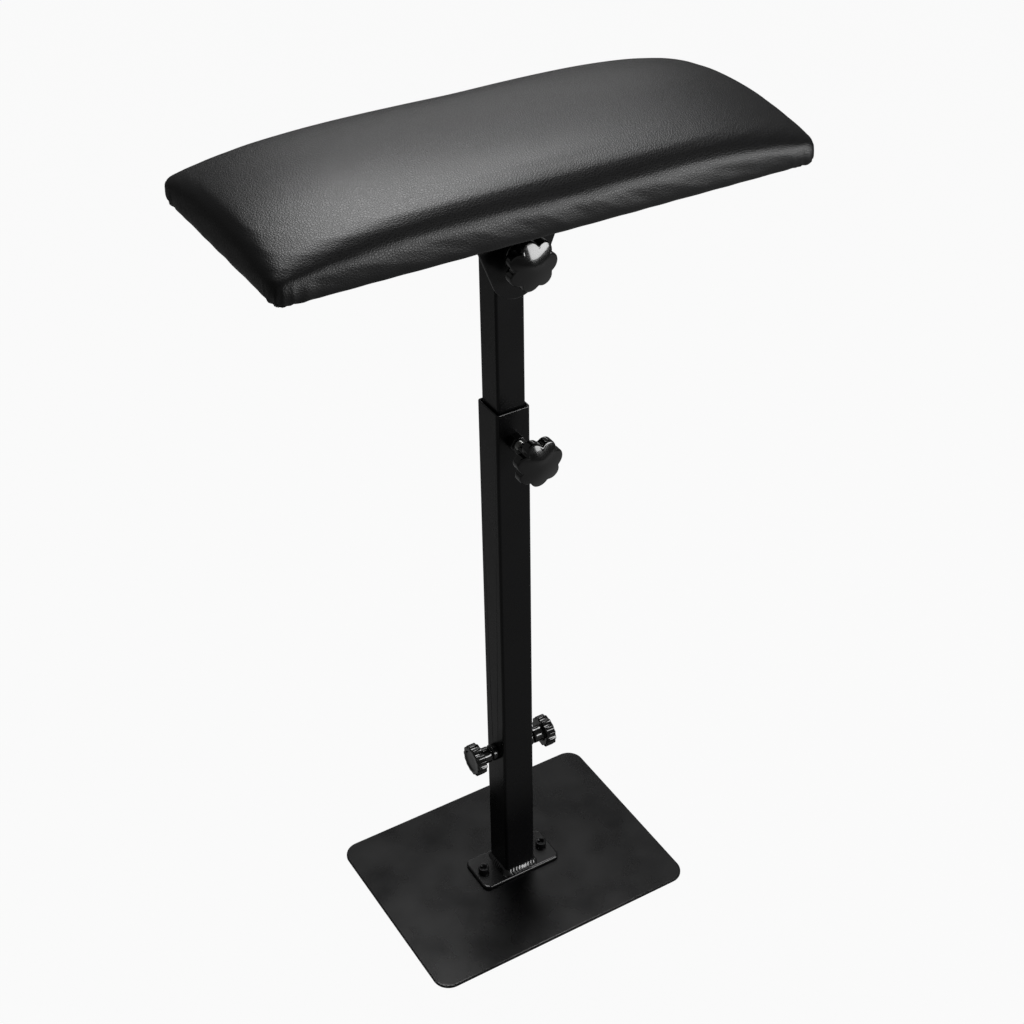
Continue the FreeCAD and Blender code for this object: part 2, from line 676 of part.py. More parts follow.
def make_bracket():
    """One bent strip: an ear that hangs in front of the post, and a plate under the pad."""
    body = new_body("tilt_bracket", y=f"-({EAR_BACK})", z=PIVOT)
    ear = new_sketch(body, "ear", "XZ_Plane")
    half, rise, shoulder = "Sizes.ear_width / 2", "Sizes.ear_rise", "Sizes.ear_shoulder_rise"
    centre_z = number("Sizes.ear_end_radius - Sizes.ear_drop")
    radius = number("Sizes.ear_end_radius")
    # The round end meets each sloping side where the side is tangent to it.
    across, up = number(half), number(shoulder) - centre_z
    lean = math.atan2(up, across) - math.acos(radius / math.hypot(across, up))
    touch = Vector(radius * math.cos(lean), centre_z + radius * math.sin(lean), 0)
    mirror = Vector(-touch.x, touch.y, 0)
    corners = [
        touch, Vector(across, number(shoulder), 0), Vector(across, number(rise), 0),
        Vector(-across, number(rise), 0), Vector(-across, number(shoulder), 0), mirror,
    ]
    sides = [
        ear.addGeometry(Part.LineSegment(corners[k], corners[k + 1])) for k in range(5)
    ]
    ring = Part.Circle(Vector(0, centre_z, 0), Vector(0, 0, 1), radius)
    end = ear.addGeometry(Part.ArcOfCircle(ring, math.pi - lean, 2 * math.pi + lean))
    for k in range(4):
        constrain(ear, "Coincident", sides[k], 2, sides[k + 1], 1)
    constrain(ear, "Tangent", sides[4], 2, end, 1)
    constrain(ear, "Tangent", end, 2, sides[0], 1)
    locate(ear, end, 3, "0", "Sizes.ear_end_radius - Sizes.ear_drop")
    measure(ear, "Radius", end, size="Sizes.ear_end_radius")
    locate(ear, sides[1], 1, half, shoulder)
    locate(ear, sides[2], 1, half, rise)
    locate(ear, sides[3], 1, f"-{half}", rise)
    locate(ear, sides[4], 1, f"-{half}", shoulder)
    ear_plate = pad(body, "ear_plate", ear, "Sizes.ear_thickness")
    level = number(shoulder)
    corners_at = edges_where(
        ear_plate,
        lambda edge: is_straight_along(edge, "y")
        and abs(edge.BoundBox.ZMin - level) < SAME_LENGTH,
    )
    feature(
        body, "Fillet", "shoulders", Radius="Sizes.ear_shoulder_round",
        Base=(ear_plate, corners_at),
    )
    deck = new_sketch(body, "deck", lift=f"{rise} - Sizes.ear_thickness")
    outline(deck, (
        (f"-{half}", "-Sizes.ear_thickness"), (half, "-Sizes.ear_thickness"),
        (half, f"2 * ({EAR_BACK}) + Sizes.ear_thickness"),
        (f"-{half}", f"2 * ({EAR_BACK}) + Sizes.ear_thickness"),
    ))
    deck_plate = pad(body, "deck_plate", deck, "Sizes.ear_thickness")
    front = -number("Sizes.ear_thickness")
    top, under = number(rise), number(f"{rise} - Sizes.ear_thickness")
    inner = edges_where(deck_plate, lambda edge: runs_along_x_at(edge, 0, under))
    bend = feature(
        body, "Fillet", "inner_bend", Radius="Sizes.bracket_bend_radius",
        Base=(deck_plate, inner),
    )
    outer = edges_where(bend, lambda edge: runs_along_x_at(edge, front, top))
    bent = feature(
        body, "Fillet", "outer_bend", Radius="Sizes.bracket_bend_radius + Sizes.ear_thickness",
        Base=(bend, outer),
    )
    back = number(f"2 * ({EAR_BACK}) + Sizes.ear_thickness")
    corners_back = edges_where(
        bent, lambda edge: is_upright(edge) and abs(edge.BoundBox.YMin - back) < SAME_LENGTH,
    )
    feature(
        body, "Fillet", "deck_corners", Radius="Sizes.bracket_bend_radius",
        Base=(bent, corners_back),
    )
    pivot = new_sketch(body, "pivot", "XZ_Plane")
    circle(pivot, "Sizes.stud_diameter + 2 * Sizes.thread_clearance")
    pocket(body, "pivot_bored", pivot, "Sizes.ear_thickness", Reversed=True)
    deck_holes = new_sketch(body, "deck_holes", lift=rise)
    for x, y in bracket_places(f"({EAR_BACK})"):
        circle(deck_holes, "Sizes.bracket_screw_diameter + 2 * Sizes.bolt_hole_clearance", x, y)
    pocket(body, "deck_drilled", deck_holes, "Sizes.ear_thickness")


def bracket_places(middle="0"):
    """The four screw places of the bracket, about a point on the Y axis."""
    return [
        (f"{side_x}Sizes.bracket_hole_pitch_x / 2",
         f"{middle} {side_y} Sizes.bracket_hole_pitch_y / 2")
        for side_x in ("-", "") for side_y in ("-", "+")
    ]


def make_bracket_fasteners():
    """Four button head screws from below, and the tee nuts they pull on in the board."""
    screws = new_body("bracket_screws", z=f"{PIVOT} + Sizes.ear_rise - Sizes.ear_thickness")
    heads, shanks = new_sketch(screws, "heads"), new_sketch(screws, "shanks")
    depth = "Sizes.bracket_screw_head_height"
    sockets = new_sketch(screws, "sockets", lift=f"-{depth}")
    for x, y in bracket_places():
        circle(heads, "Sizes.bracket_screw_head_diameter", x, y)
        circle(shanks, "Sizes.bracket_screw_diameter", x, y)
        hexagon(sockets, "Sizes.bracket_screw_socket_across", x, y)
    head = pad(screws, "head", heads, depth, Reversed=True)
    rim = edges_where(head, lies_at(f"-{depth}"))
    feature(screws, "Chamfer", "rim", Size="Sizes.bracket_screw_head_chamfer", Base=(head, rim))
    pad(screws, "shank", shanks, "Sizes.bracket_screw_length")
    pocket(screws, "socket", sockets, "Sizes.bracket_screw_socket_depth", Reversed=True)

    nuts = new_body("board_tee_nuts", z=BOARD_TOP)
    barrels, flanges = new_sketch(nuts, "barrels"), new_sketch(nuts, "flanges")
    bores = new_sketch(nuts, "bores")
    for x, y in bracket_places():
        circle(barrels, "Sizes.tee_nut_barrel_diameter", x, y)
        circle(flanges, "Sizes.tee_nut_flange_diameter", x, y)
        circle(bores, "Sizes.bracket_screw_diameter + 2 * Sizes.thread_clearance", x, y)
    pad(nuts, "flange", flanges, "Sizes.tee_nut_flange_thickness", Reversed=True)
    pad(nuts, "barrel", barrels, "Sizes.tee_nut_barrel_length", Reversed=True)
    pocket(nuts, "bored", bores, "Sizes.board_thickness")


BOARD_UNDERSIDE = f"{PAD_UNDERSIDE} + Sizes.leather_thickness"
BOARD_TOP = f"{BOARD_UNDERSIDE} + Sizes.board_thickness"


def shoulder_rise(run_share):
    """Share of its height that a superelliptic shoulder has risen, a share of the way over."""
    return (1 - (1 - run_share) ** SHOULDER_POWER) ** (1 / SHOULDER_POWER)


def pad_stations(length, corner):
    """Cross-sections from an end to next to the middle: place along the pad, narrowing of
    each side, share that the arch has dropped and share that the end's shoulder has risen."""
    stations = []
    for degrees in CORNER_TURNS:
        turn = math.radians(degrees)
        place = f"({length} / 2 - {1 - math.cos(turn):.5f} * {corner})"
        narrowing = f"{1 - math.sin(turn):.5f} * {corner}"
        stations.append((place, narrowing, ARCH_DROP_SHARE, shoulder_rise(1 - math.cos(turn))))
    for run_share in ARCH_RUNS:
        drop_share = ARCH_DROP_SHARE * run_share ** ARCH_POWER
        stations.append((f"{run_share} * ({length} / 2 - {corner})", "0", drop_share, 1))
    return stations


def section_corners(half_width, drop_share, end_rise):
    """One side of a cross-section, from its foot to its middle: places across the pad as
    expressions and heights as shares."""
    foot_share = 0 if end_rise else TUCK_HEIGHT_SHARE
    corners = [
        (f"{half_width} - {TUCK_INSET_SHARE} * Sizes.pad_width", foot_share),
        (half_width, TUCK_HEIGHT_SHARE),
        (half_width, RIDGE_HEIGHT_SHARE),
    ]

    def top_share(across_share, side_rise):
        crest_share = 1 - drop_share - CROWN_DROP_SHARE * across_share ** CROWN_POWER
        rise = end_rise * side_rise
        return RIDGE_HEIGHT_SHARE + (crest_share - RIDGE_HEIGHT_SHARE) * rise

    for run_share in SHOULDER_RUNS:
        inset_share = run_share * SHOULDER_REACH_SHARE
        corners.append((
            f"{half_width} - {inset_share:.5f} * Sizes.pad_width",
            top_share(1 - 2 * inset_share, shoulder_rise(run_share)),
        ))
    flat_share = 1 - 2 * SHOULDER_REACH_SHARE
    corners.append((
        f"{CROWN_RUN} * ({half_width} - {SHOULDER_REACH_SHARE} * Sizes.pad_width)",
        top_share(CROWN_RUN * flat_share, 1),
    ))
    corners.append(("0", top_share(0, 1)))
    return corners


def pad_loft(body, kind, name, inset, floor, ceiling):
    """A ruled loft through cross-sections along the pad, drawn in by an inset all round."""
    length = f"(Sizes.pad_length - 2 * {inset})"
    corner = f"(Sizes.pad_corner_radius - {inset})"
    stations = pad_stations(length, corner)
    places = [(f"-{place}", *rest) for place, *rest in stations]
    places.append(("0", "0", 0, 1))
    places.extend(reversed(stations))
    sections = []
    for k, (place, narrowing, drop_share, end_rise) in enumerate(places):
        half_width = f"(Sizes.pad_width / 2 - {inset} - {narrowing})"
        side = [
            (y, f"{floor} + {share:.5f} * (Sizes.pad_height - {floor} - {ceiling})")
            for y, share in section_corners(half_width, drop_share, end_rise)
        ]
        other_side = [(f"-({y})", z) for y, z in reversed(side[:-1])]
        section = new_sketch(body, f"{name}_{k}", "YZ_Plane", lift=place)
        outline(section, side + other_side)
        sections.append(section)
    return feature(body, kind, name, Profile=sections[0], Sections=sections[1:], Ruled=True)


def make_pad():
    skin = "Sizes.leather_thickness"
    lined = "(Sizes.leather_thickness + Sizes.layer_gap)"
    cover = new_body("pad_cover", z=PAD_UNDERSIDE)
    pad_loft(cover, "AdditiveLoft", "shell", "0", "0", "0")
    pad_loft(cover, "SubtractiveLoft", "hollow", skin, skin, skin)
    window = new_sketch(cover, "window")
    rounded_rectangle(
        window, "Sizes.pad_length - 2 * Sizes.leather_turn_in",
        "Sizes.pad_width - 2 * Sizes.leather_turn_in", "Sizes.pad_corner_radius / 2",
    )
    pocket(cover, "open_underside", window, f"{skin} + Sizes.layer_gap", Reversed=True)

    foam = new_body("pad_foam", z=PAD_UNDERSIDE)
    pad_loft(foam, "AdditiveLoft", "block", lined, skin, lined)
    trim = new_sketch(foam, "trim")
    rounded_rectangle(trim, "Sizes.pad_length", "Sizes.pad_width", "Sizes.pad_corner_radius")
    pocket(
        foam, "flat_underside", trim, f"{skin} + Sizes.board_thickness + Sizes.layer_gap",
        Reversed=True,
    )

    board = new_body("pad_board", z=BOARD_UNDERSIDE)
    face = new_sketch(board, "face")
    tuck = f"({lined} + {TUCK_INSET_SHARE} * Sizes.pad_width)"
    rounded_rectangle(
        face, f"Sizes.pad_length - 2 * {tuck}", f"Sizes.pad_width - 2 * {tuck}",
        "Sizes.pad_corner_radius",
    )
    pad(board, "slab", face, "Sizes.board_thickness")
    bores = new_sketch(board, "bores")
    sinks = new_sketch(board, "sinks", lift="Sizes.board_thickness")
    for x, y in bracket_places():
        circle(bores, "Sizes.tee_nut_barrel_diameter + 2 * Sizes.plug_clearance", x, y)
        circle(sinks, "Sizes.tee_nut_flange_diameter + 2 * Sizes.layer_gap", x, y)
    pocket(board, "drilled", bores, Midplane=True)
    pocket(board, "sunk", sinks, "Sizes.tee_nut_flange_thickness")

    inset = "2 * Sizes.underside_cloth_inset"
    cloth = new_body("underside_cloth", z=f"{PIVOT} + Sizes.ear_rise")
    sheet_face = new_sketch(cloth, "face")
    rounded_rectangle(
        sheet_face, f"Sizes.pad_length - {inset}", f"Sizes.pad_width - {inset}",
        "Sizes.pad_corner_radius / 2",
    )
    for x, y in bracket_places():
        circle(sheet_face, "Sizes.bracket_screw_diameter + 2 * Sizes.bolt_hole_clearance", x, y)
    pad(cloth, "sheet", sheet_face, "Sizes.underside_cloth_thickness")


make_foot()
make_post()
make_height_clamp()
make_side_clamps()
make_mast()
make_tilt_knob()
make_bracket()
make_bracket_fasteners()
make_pad()
doc.recompute()

for item in doc.Objects:
    bad = [state for state in item.State if state in ("Invalid", "Error")]
    if bad:
        raise RuntimeError(f"{item.Label} is {bad}")
for body in NODES:
    if body.Shape.isNull() or not body.Shape.isValid():
        raise RuntimeError(f"{body.Label} has no valid shape")

os.makedirs("parts", exist_ok=True)
for body in NODES:
    body.Shape.exportStep(f"parts/{body.Label}.step")
    print(f"{body.Label}: {len(body.Shape.Solids)} solid(s), {body.Shape.Volume:.0f} cubic mm")
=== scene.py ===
import math

import bpy
import numpy as np
from mathutils import Matrix, Vector


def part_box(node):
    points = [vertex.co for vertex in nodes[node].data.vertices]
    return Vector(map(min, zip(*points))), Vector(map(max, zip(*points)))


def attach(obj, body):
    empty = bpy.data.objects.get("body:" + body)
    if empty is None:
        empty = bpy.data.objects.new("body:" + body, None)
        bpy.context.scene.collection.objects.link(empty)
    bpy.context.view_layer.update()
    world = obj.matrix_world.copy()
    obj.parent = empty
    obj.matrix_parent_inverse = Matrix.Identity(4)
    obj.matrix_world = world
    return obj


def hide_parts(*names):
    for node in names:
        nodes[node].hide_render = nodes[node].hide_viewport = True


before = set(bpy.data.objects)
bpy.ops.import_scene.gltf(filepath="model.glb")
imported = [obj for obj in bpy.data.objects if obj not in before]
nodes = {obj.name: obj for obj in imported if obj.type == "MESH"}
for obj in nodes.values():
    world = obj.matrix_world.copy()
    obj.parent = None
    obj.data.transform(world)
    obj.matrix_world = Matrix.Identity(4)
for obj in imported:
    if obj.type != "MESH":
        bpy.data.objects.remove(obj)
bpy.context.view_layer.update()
mm = 0.001
print("frame loaded:", len(nodes), "CAD nodes")


# small tools for materials

def toLinear(code):
    # sRGB hex code to linear RGBA
    parts = [int(code[k:k + 2], 16) / 255 for k in (1, 3, 5)]
    return [p / 12.92 if p <= 0.04045 else ((p + 0.055) / 1.055) ** 2.4 for p in parts] + [1]


def addNode(tree, kind, settings=None, links=None):
    # one shader node: settings are its properties, links its inputs, as values or (node, output)
    node = tree.nodes.new("ShaderNode" + kind)
    for key, value in (settings or {}).items():
        setattr(node, key, value)
    for key, value in (links or {}).items():
        socket = next(s for s in node.inputs if key in (s.identifier, s.name))
        if isinstance(value, tuple) and isinstance(value[0], bpy.types.Node):
            source = next(s for s in value[0].outputs if value[1] in (s.identifier, s.name))
            tree.links.new(source, socket)
        else:
            socket.default_value = value
    return node


def newMaterial(name):
    material = bpy.data.materials.new(name)
    material.use_nodes = True
    tree = material.node_tree
    tree.nodes.clear()
    coords = addNode(tree, "TexCoord")
    return material, tree, coords


def finishMaterial(material, tree, surface):
    addNode(tree, "OutputMaterial", links={"Surface": (surface, surface.outputs[0].name)})
    return material


# materials, each from what the real one is

leatherLook = {
    "dark": "#0c0c0d", "light": "#121213",   # black synthetic leather, slightly mottled
    "cell": 1.9 * mm,                        # pebble grain, about 1 mm on the real one, as it
    "pore": 0.7 * mm,                        # would be too fine to show
    "crease": 26 * mm,                       # soft creases in the leather
    "roughness": 0.38, "grainDepth": 0.22 * mm, "grainStrength": 0.6,
}


def softLeather():
    # polyurethane-coated leather, embossed with a pebble grain: broad soft sheen
    look = leatherLook
    material, tree, coords = newMaterial("pebbledBlackLeather")
    place = (coords, "Object")
    cells = addNode(tree, "TexVoronoi", {"feature": "DISTANCE_TO_EDGE"},
                    {"Vector": place, "Scale": 1 / look["cell"], "Randomness": 0.9})
    rounded = addNode(tree, "MapRange", {"interpolation_type": "SMOOTHSTEP"},
                      {"Value": (cells, "Distance"), "From Max": 0.28})
    pores = addNode(tree, "TexNoise", None,
                    {"Vector": place, "Scale": 1 / look["pore"], "Detail": 3.0})
    creases = addNode(tree, "TexNoise", None,
                      {"Vector": place, "Scale": 1 / look["crease"], "Detail": 5.0,
                       "Roughness": 0.6, "Distortion": 0.8})
    height = addNode(tree, "Mix", {"data_type": "FLOAT"},
                     {"Factor_Float": 0.3, "A_Float": (rounded, "Result"),
                      "B_Float": (pores, "Fac")})
    withCrease = addNode(tree, "Mix", {"data_type": "FLOAT"},
                         {"Factor_Float": 0.35, "A_Float": (height, "Result_Float"),
                          "B_Float": (creases, "Fac")})
    bump = addNode(tree, "Bump", None,
                   {"Strength": look["grainStrength"], "Distance": look["grainDepth"],
                    "Height": (withCrease, "Result_Float")})
    colour = addNode(tree, "Mix", {"data_type": "RGBA"},
                     {"Factor_Float": (creases, "Fac"), "A_Color": toLinear(look["dark"]),
                      "B_Color": toLinear(look["light"])})
    gloss = addNode(tree, "MapRange", None,
                    {"Value": (height, "Result_Float"), "To Min": look["roughness"] + 0.09,
                     "To Max": look["roughness"] - 0.05})
    surface = addNode(tree, "BsdfPrincipled", None,
                      {"Base Color": (colour, "Result_Color"), "Roughness": (gloss, "Result"),
                       "IOR": 1.5, "Specular IOR Level": 0.5, "Normal": (bump, "Normal")})
    return finishMaterial(material, tree, surface)


coatLook = {"colour": "#0c0c0d", "peel": 1.3 * mm, "peelDepth": 0.05 * mm,
            "speck": 0.5 * mm, "wear": 45 * mm, "roughness": 0.27}


def powderCoatedSteel(name, skin):
    # epoxy-polyester powder coat baked on steel: glossy, with a fine orange peel; skin is
    # the share of clear gloss where the powder has run thick
    look = coatLook
    material, tree, coords = newMaterial(name)
    place = (coords, "Object")
    peel = addNode(tree, "TexNoise", None,
                   {"Vector": place, "Scale": 1 / look["peel"], "Detail": 2.0})
    speck = addNode(tree, "TexNoise", None,
                    {"Vector": place, "Scale": 1 / look["speck"], "Detail": 1.0})
    wear = addNode(tree, "TexNoise", None,
                   {"Vector": place, "Scale": 1 / look["wear"], "Detail": 4.0})
    both = addNode(tree, "Mix", {"data_type": "FLOAT"},
                   {"Factor_Float": 0.3, "A_Float": (peel, "Fac"), "B_Float": (speck, "Fac")})
    bump = addNode(tree, "Bump", None, {"Strength": 0.5, "Distance": look["peelDepth"],
                                        "Height": (both, "Result_Float")})
    gloss = addNode(tree, "MapRange", None,
                    {"Value": (wear, "Fac"), "From Min": 0.3, "From Max": 0.7,
                     "To Min": look["roughness"] - 0.04, "To Max": look["roughness"] + 0.06})
    surface = addNode(tree, "BsdfPrincipled", None,
                      {"Base Color": toLinear(look["colour"]), "Roughness": (gloss, "Result"),
                       "IOR": 1.5, "Specular IOR Level": 0.34, "Coat Weight": skin,
                       "Coat Roughness": 0.12, "Normal": (bump, "Normal")})
    return finishMaterial(material, tree, surface)


def mouldedNylon(name, colour, roughness, skin):
    # glass-filled nylon from a polished mould: a clear gloss skin over faint flow marks
    material, tree, coords = newMaterial(name)
    place = (coords, "Object")
    flow = addNode(tree, "TexNoise", None,
                   {"Vector": place, "Scale": 1 / (5 * mm), "Detail": 3.0, "Distortion": 0.6})
    grit = addNode(tree, "TexNoise", None, {"Vector": place, "Scale": 1 / (0.4 * mm)})
    both = addNode(tree, "Mix", {"data_type": "FLOAT"},
                   {"Factor_Float": 0.25, "A_Float": (flow, "Fac"), "B_Float": (grit, "Fac")})
    bump = addNode(tree, "Bump", None, {"Strength": 0.12, "Distance": 0.02 * mm,
                                        "Height": (both, "Result_Float")})
    gloss = addNode(tree, "MapRange", None,
                    {"Value": (flow, "Fac"), "To Min": roughness - 0.05,
                     "To Max": roughness + 0.07})
    surface = addNode(tree, "BsdfPrincipled", None,
                      {"Base Color": toLinear(colour), "Roughness": (gloss, "Result"), "IOR": 1.53,
                       "Coat Weight": skin, "Coat Roughness": 0.06, "Normal": (bump, "Normal")})
    return finishMaterial(material, tree, surface)


def platedSteel(name, colour, roughness, metallic):
    # turned or pressed steel with a thin plating: metal gloss broken by fine tool marks
    material, tree, coords = newMaterial(name)
    place = (coords, "Object")
    marks = addNode(tree, "TexNoise", None,
                    {"Vector": place, "Scale": 1 / (0.6 * mm), "Detail": 3.0})
    stains = addNode(tree, "TexNoise", None,
                     {"Vector": place, "Scale": 1 / (6 * mm), "Detail": 3.0})
    bump = addNode(tree, "Bump", None, {"Strength": 0.4, "Distance": 0.03 * mm,
                                        "Height": (marks, "Fac")})
    gloss = addNode(tree, "MapRange", None,
                    {"Value": (stains, "Fac"), "To Min": roughness - 0.08,
                     "To Max": roughness + 0.1})
    surface = addNode(tree, "BsdfPrincipled", None,
                      {"Base Color": toLinear(colour), "Metallic": metallic,
                       "Roughness": (gloss, "Result"), "Normal": (bump, "Normal")})
    return finishMaterial(material, tree, surface)


def spunbondCloth():
    # spunbonded polypropylene dust cloth: matt fibres welded in small dots
    material, tree, coords = newMaterial("spunbondCloth")
    place = (coords, "Object")
    dots = addNode(tree, "TexVoronoi", {"feature": "F1"},
                   {"Vector": place, "Scale": 1 / (2.2 * mm), "Randomness": 0.12})
    fibres = addNode(tree, "TexNoise", None,
                     {"Vector": place, "Scale": 1 / (0.5 * mm), "Detail": 4.0, "Distortion": 1.5})
    pressed = addNode(tree, "MapRange", {"interpolation_type": "SMOOTHSTEP"},
                      {"Value": (dots, "Distance"), "From Min": 0.15, "From Max": 0.4})
    both = addNode(tree, "Mix", {"data_type": "FLOAT"},
                   {"Factor_Float": 0.45, "A_Float": (pressed, "Result"),
                    "B_Float": (fibres, "Fac")})
    bump = addNode(tree, "Bump", None, {"Strength": 0.7, "Distance": 0.2 * mm,
                                        "Height": (both, "Result_Float")})
    colour = addNode(tree, "Mix", {"data_type": "RGBA"},
                     {"Factor_Float": (fibres, "Fac"), "A_Color": toLinear("#101011"),
                      "B_Color": toLinear("#242425")})
    surface = addNode(tree, "BsdfPrincipled", None,
                      {"Base Color": (colour, "Result_Color"), "Roughness": 0.88,
                       "Sheen Weight": 0.2, "Normal": (bump, "Normal")})
    return finishMaterial(material, tree, surface)


def plainWood():
    # birch plywood, hidden in the pad: pale, with a long grain along X
    material, tree, coords = newMaterial("birchPlywood")
    along = addNode(tree, "Mapping", None, {"Vector": (coords, "Object"), "Scale": (0.12, 1, 1)})
    grain = addNode(tree, "TexNoise", None,
                    {"Vector": (along, "Vector"), "Scale": 1 / (4 * mm), "Detail": 5.0})
    colour = addNode(tree, "Mix", {"data_type": "RGBA"},
                     {"Factor_Float": (grain, "Fac"), "A_Color": toLinear("#b08a5c"),
                      "B_Color": toLinear("#d8ba8c")})
    surface = addNode(tree, "BsdfPrincipled", None,
                      {"Base Color": (colour, "Result_Color"), "Roughness": 0.7})
    return finishMaterial(material, tree, surface)


materials = {
    "leather": softLeather(),
    "coat": powderCoatedSteel("powderCoatedSteel", 0.0),
    "thickCoat": powderCoatedSteel("thickPowderCoat", 1.0),
    "knob": mouldedNylon("mouldedBlackNylon", "#090909", 0.15, 0.8),
    "plug": mouldedNylon("mouldedBlackPolyethylene", "#111112", 0.45, 0.0),
    "zinc": platedSteel("zincPlatedSteel", "#b4b5b2", 0.3, 1.0),
    "oxide": platedSteel("blackOxideSteel", "#1a1a1b", 0.32, 0.6),
    "cloth": spunbondCloth(),
    "wood": plainWood(),
}
print("materials made:", len(materials))


# small tools for meshes

def signedVolume(points, faces):
    # six times the volume: over all faces, the sum of the tetrahedra from the origin to the
    # face's first triangle and to the rest of it, negative where the faces point inwards
    a, b, c = points[faces[:, 0]], points[faces[:, 1]], points[faces[:, 2]]
    volume = np.einsum("ij,ij->i", a, np.cross(b, c)).sum()
    if faces.shape[1] == 4:
        d = points[faces[:, 3]]
        volume += np.einsum("ij,ij->i", a, np.cross(c, d)).sum()
    return volume


def closedRings(rings):
    # rings of points, each joined to the next by four-sided faces, and the first and
    # last closed by a fan to the ring's mean point
    count, around = rings.shape[:2]
    index = np.arange(count * around).reshape(count, around)
    low, high = index[:-1], index[1:]
    quads = np.stack([low, np.roll(low, -1, 1), np.roll(high, -1, 1), high], -1).reshape(-1, 4)
    first, last = count * around, count * around + 1
    points = np.vstack([rings.reshape(-1, 3), rings[0].mean(0), rings[-1].mean(0)])
    start, end = index[0], index[-1]
    fans = np.vstack([
        np.stack([np.full(around, first), np.roll(start, -1), start], -1),
        np.stack([np.full(around, last), end, np.roll(end, -1)], -1),
    ])
    if signedVolume(points, quads) + signedVolume(points, fans) < 0:
        quads, fans = quads[:, ::-1], fans[:, ::-1]
    return points, quads.tolist() + fans.tolist()


def closedTube(rings):
    # rings joined to the next, and the last to the first, as on a torus
    count, around = rings.shape[:2]
    index = np.arange(count * around).reshape(count, around)
    low, high = index, np.roll(index, -1, 0)
    quads = np.stack([low, np.roll(low, -1, 1), np.roll(high, -1, 1), high], -1).reshape(-1, 4)
    points = rings.reshape(-1, 3)
    if signedVolume(points, quads) < 0:
        quads = quads[:, ::-1]
    return points, quads.tolist()


def roundedOutline(length, width, radius, perSide=(60, 26), perCorner=12):
    # a rectangle with round corners: even steps along each side, even angles round each corner
    points = []
    centres = ((1, -1), (1, 1), (-1, 1), (-1, -1))
    for k, (sx, sy) in enumerate(centres):
        cx, cy = sx * (length / 2 - radius), sy * (width / 2 - radius)
        angle = np.radians(90 * k - 90) + np.linspace(0, math.pi / 2, perCorner)
        bend = np.stack([cx + radius * np.cos(angle), cy + radius * np.sin(angle)], -1)
        nx, ny = centres[(k + 1) % 4]
        first = bend[-1]
        angleNext = math.radians(90 * k)
        last = np.array([nx * (length / 2 - radius) + radius * math.cos(angleNext),
                         ny * (width / 2 - radius) + radius * math.sin(angleNext)])
        steps = np.linspace(0, 1, perSide[(k + 1) % 2] + 2)[1:-1, None]
        points += [bend, first + (last - first) * steps]
    return np.vstack(points)


def makePiece(name, shape, material, body, sharp=35):
    points, faces = shape
    mesh = bpy.data.meshes.new(name)
    mesh.from_pydata(np.asarray(points).tolist(), [], faces)
    mesh.materials.append(materials[material])
    mesh.polygons.foreach_set("use_smooth", np.ones(len(mesh.polygons), bool))
    mesh.set_sharp_from_angle(angle=math.radians(sharp))
    piece = bpy.data.objects.new(name, mesh)
    bpy.context.scene.collection.objects.link(piece)
    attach(piece, body)
    return piece


def dressedCopy(node, name, material, body, sharp=28, bevel=0.0):
    # a CAD node's own solid with its doubles merged, smooth between sharp edges
    mesh = nodes[node].data.copy()
    mesh.name = name
    mesh.materials.clear()
    mesh.materials.append(materials[material])
    piece = bpy.data.objects.new(name, mesh)
    bpy.context.scene.collection.objects.link(piece)
    weld = piece.modifiers.new("weld", "WELD")
    weld.merge_threshold = 0.002 * mm
    mesh = bpy.data.meshes.new_from_object(
        piece.evaluated_get(bpy.context.evaluated_depsgraph_get()))
    piece.modifiers.remove(weld)
    piece.data = mesh
    mesh.polygons.foreach_set("use_smooth", np.ones(len(mesh.polygons), bool))
    mesh.set_sharp_from_angle(angle=math.radians(sharp))
    if bevel:
        rounding = piece.modifiers.new("rounded edges", "BEVEL")
        rounding.width = bevel
        rounding.segments = 2
        rounding.limit_method = "ANGLE"
        rounding.angle_limit = math.radians(sharp)
        rounding.use_clamp_overlap = False
        if material == "coat":
            piece.data.materials.append(materials["thickCoat"])   # powder builds up on edges
            rounding.material = 1
    flat = piece.modifiers.new("flat faces stay flat", "WEIGHTED_NORMAL")
    flat.keep_sharp = True
    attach(piece, body)
    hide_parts(node)
    return piece


def facing(direction, base):
    # places local points, with their axis along +Z, so that the axis points to the front,
    # the left or the right of the post, from a base point
    turns = {
        "front": np.array([[1, 0, 0], [0, 0, -1], [0, 1, 0]]),
        "left": np.array([[0, 0, -1], [0, 1, 0], [1, 0, 0]]),
        "right": np.array([[0, 0, 1], [0, 1, 0], [-1, 0, 0]]),
    }
    turn, start = turns[direction], np.asarray(base)
    return lambda points: points @ turn.T + start


armrestLean = math.radians(1.05)   # in the photo the pad hangs a degree down to the right
pivotHeight = 650 * mm
padShift = -3 * mm                 # and its pad sits a little to the left


def leaned(points):
    # turned about the tilt screw's axis, which runs along Y
    c, n = math.cos(armrestLean), math.sin(armrestLean)
    x, y, z = points[:, 0], points[:, 1], points[:, 2] - pivotHeight
    return np.stack([x * c + z * n, y, z * c - x * n + pivotHeight], -1)


def leanPiece(piece, shift=0.0):
    points = np.empty(len(piece.data.vertices) * 3)
    piece.data.vertices.foreach_get("co", points)
    points = leaned(points.reshape(-1, 3) + [shift, 0, 0])
    piece.data.vertices.foreach_set("co", points.ravel())
    piece.data.update()


# steel pieces that keep their CAD solids

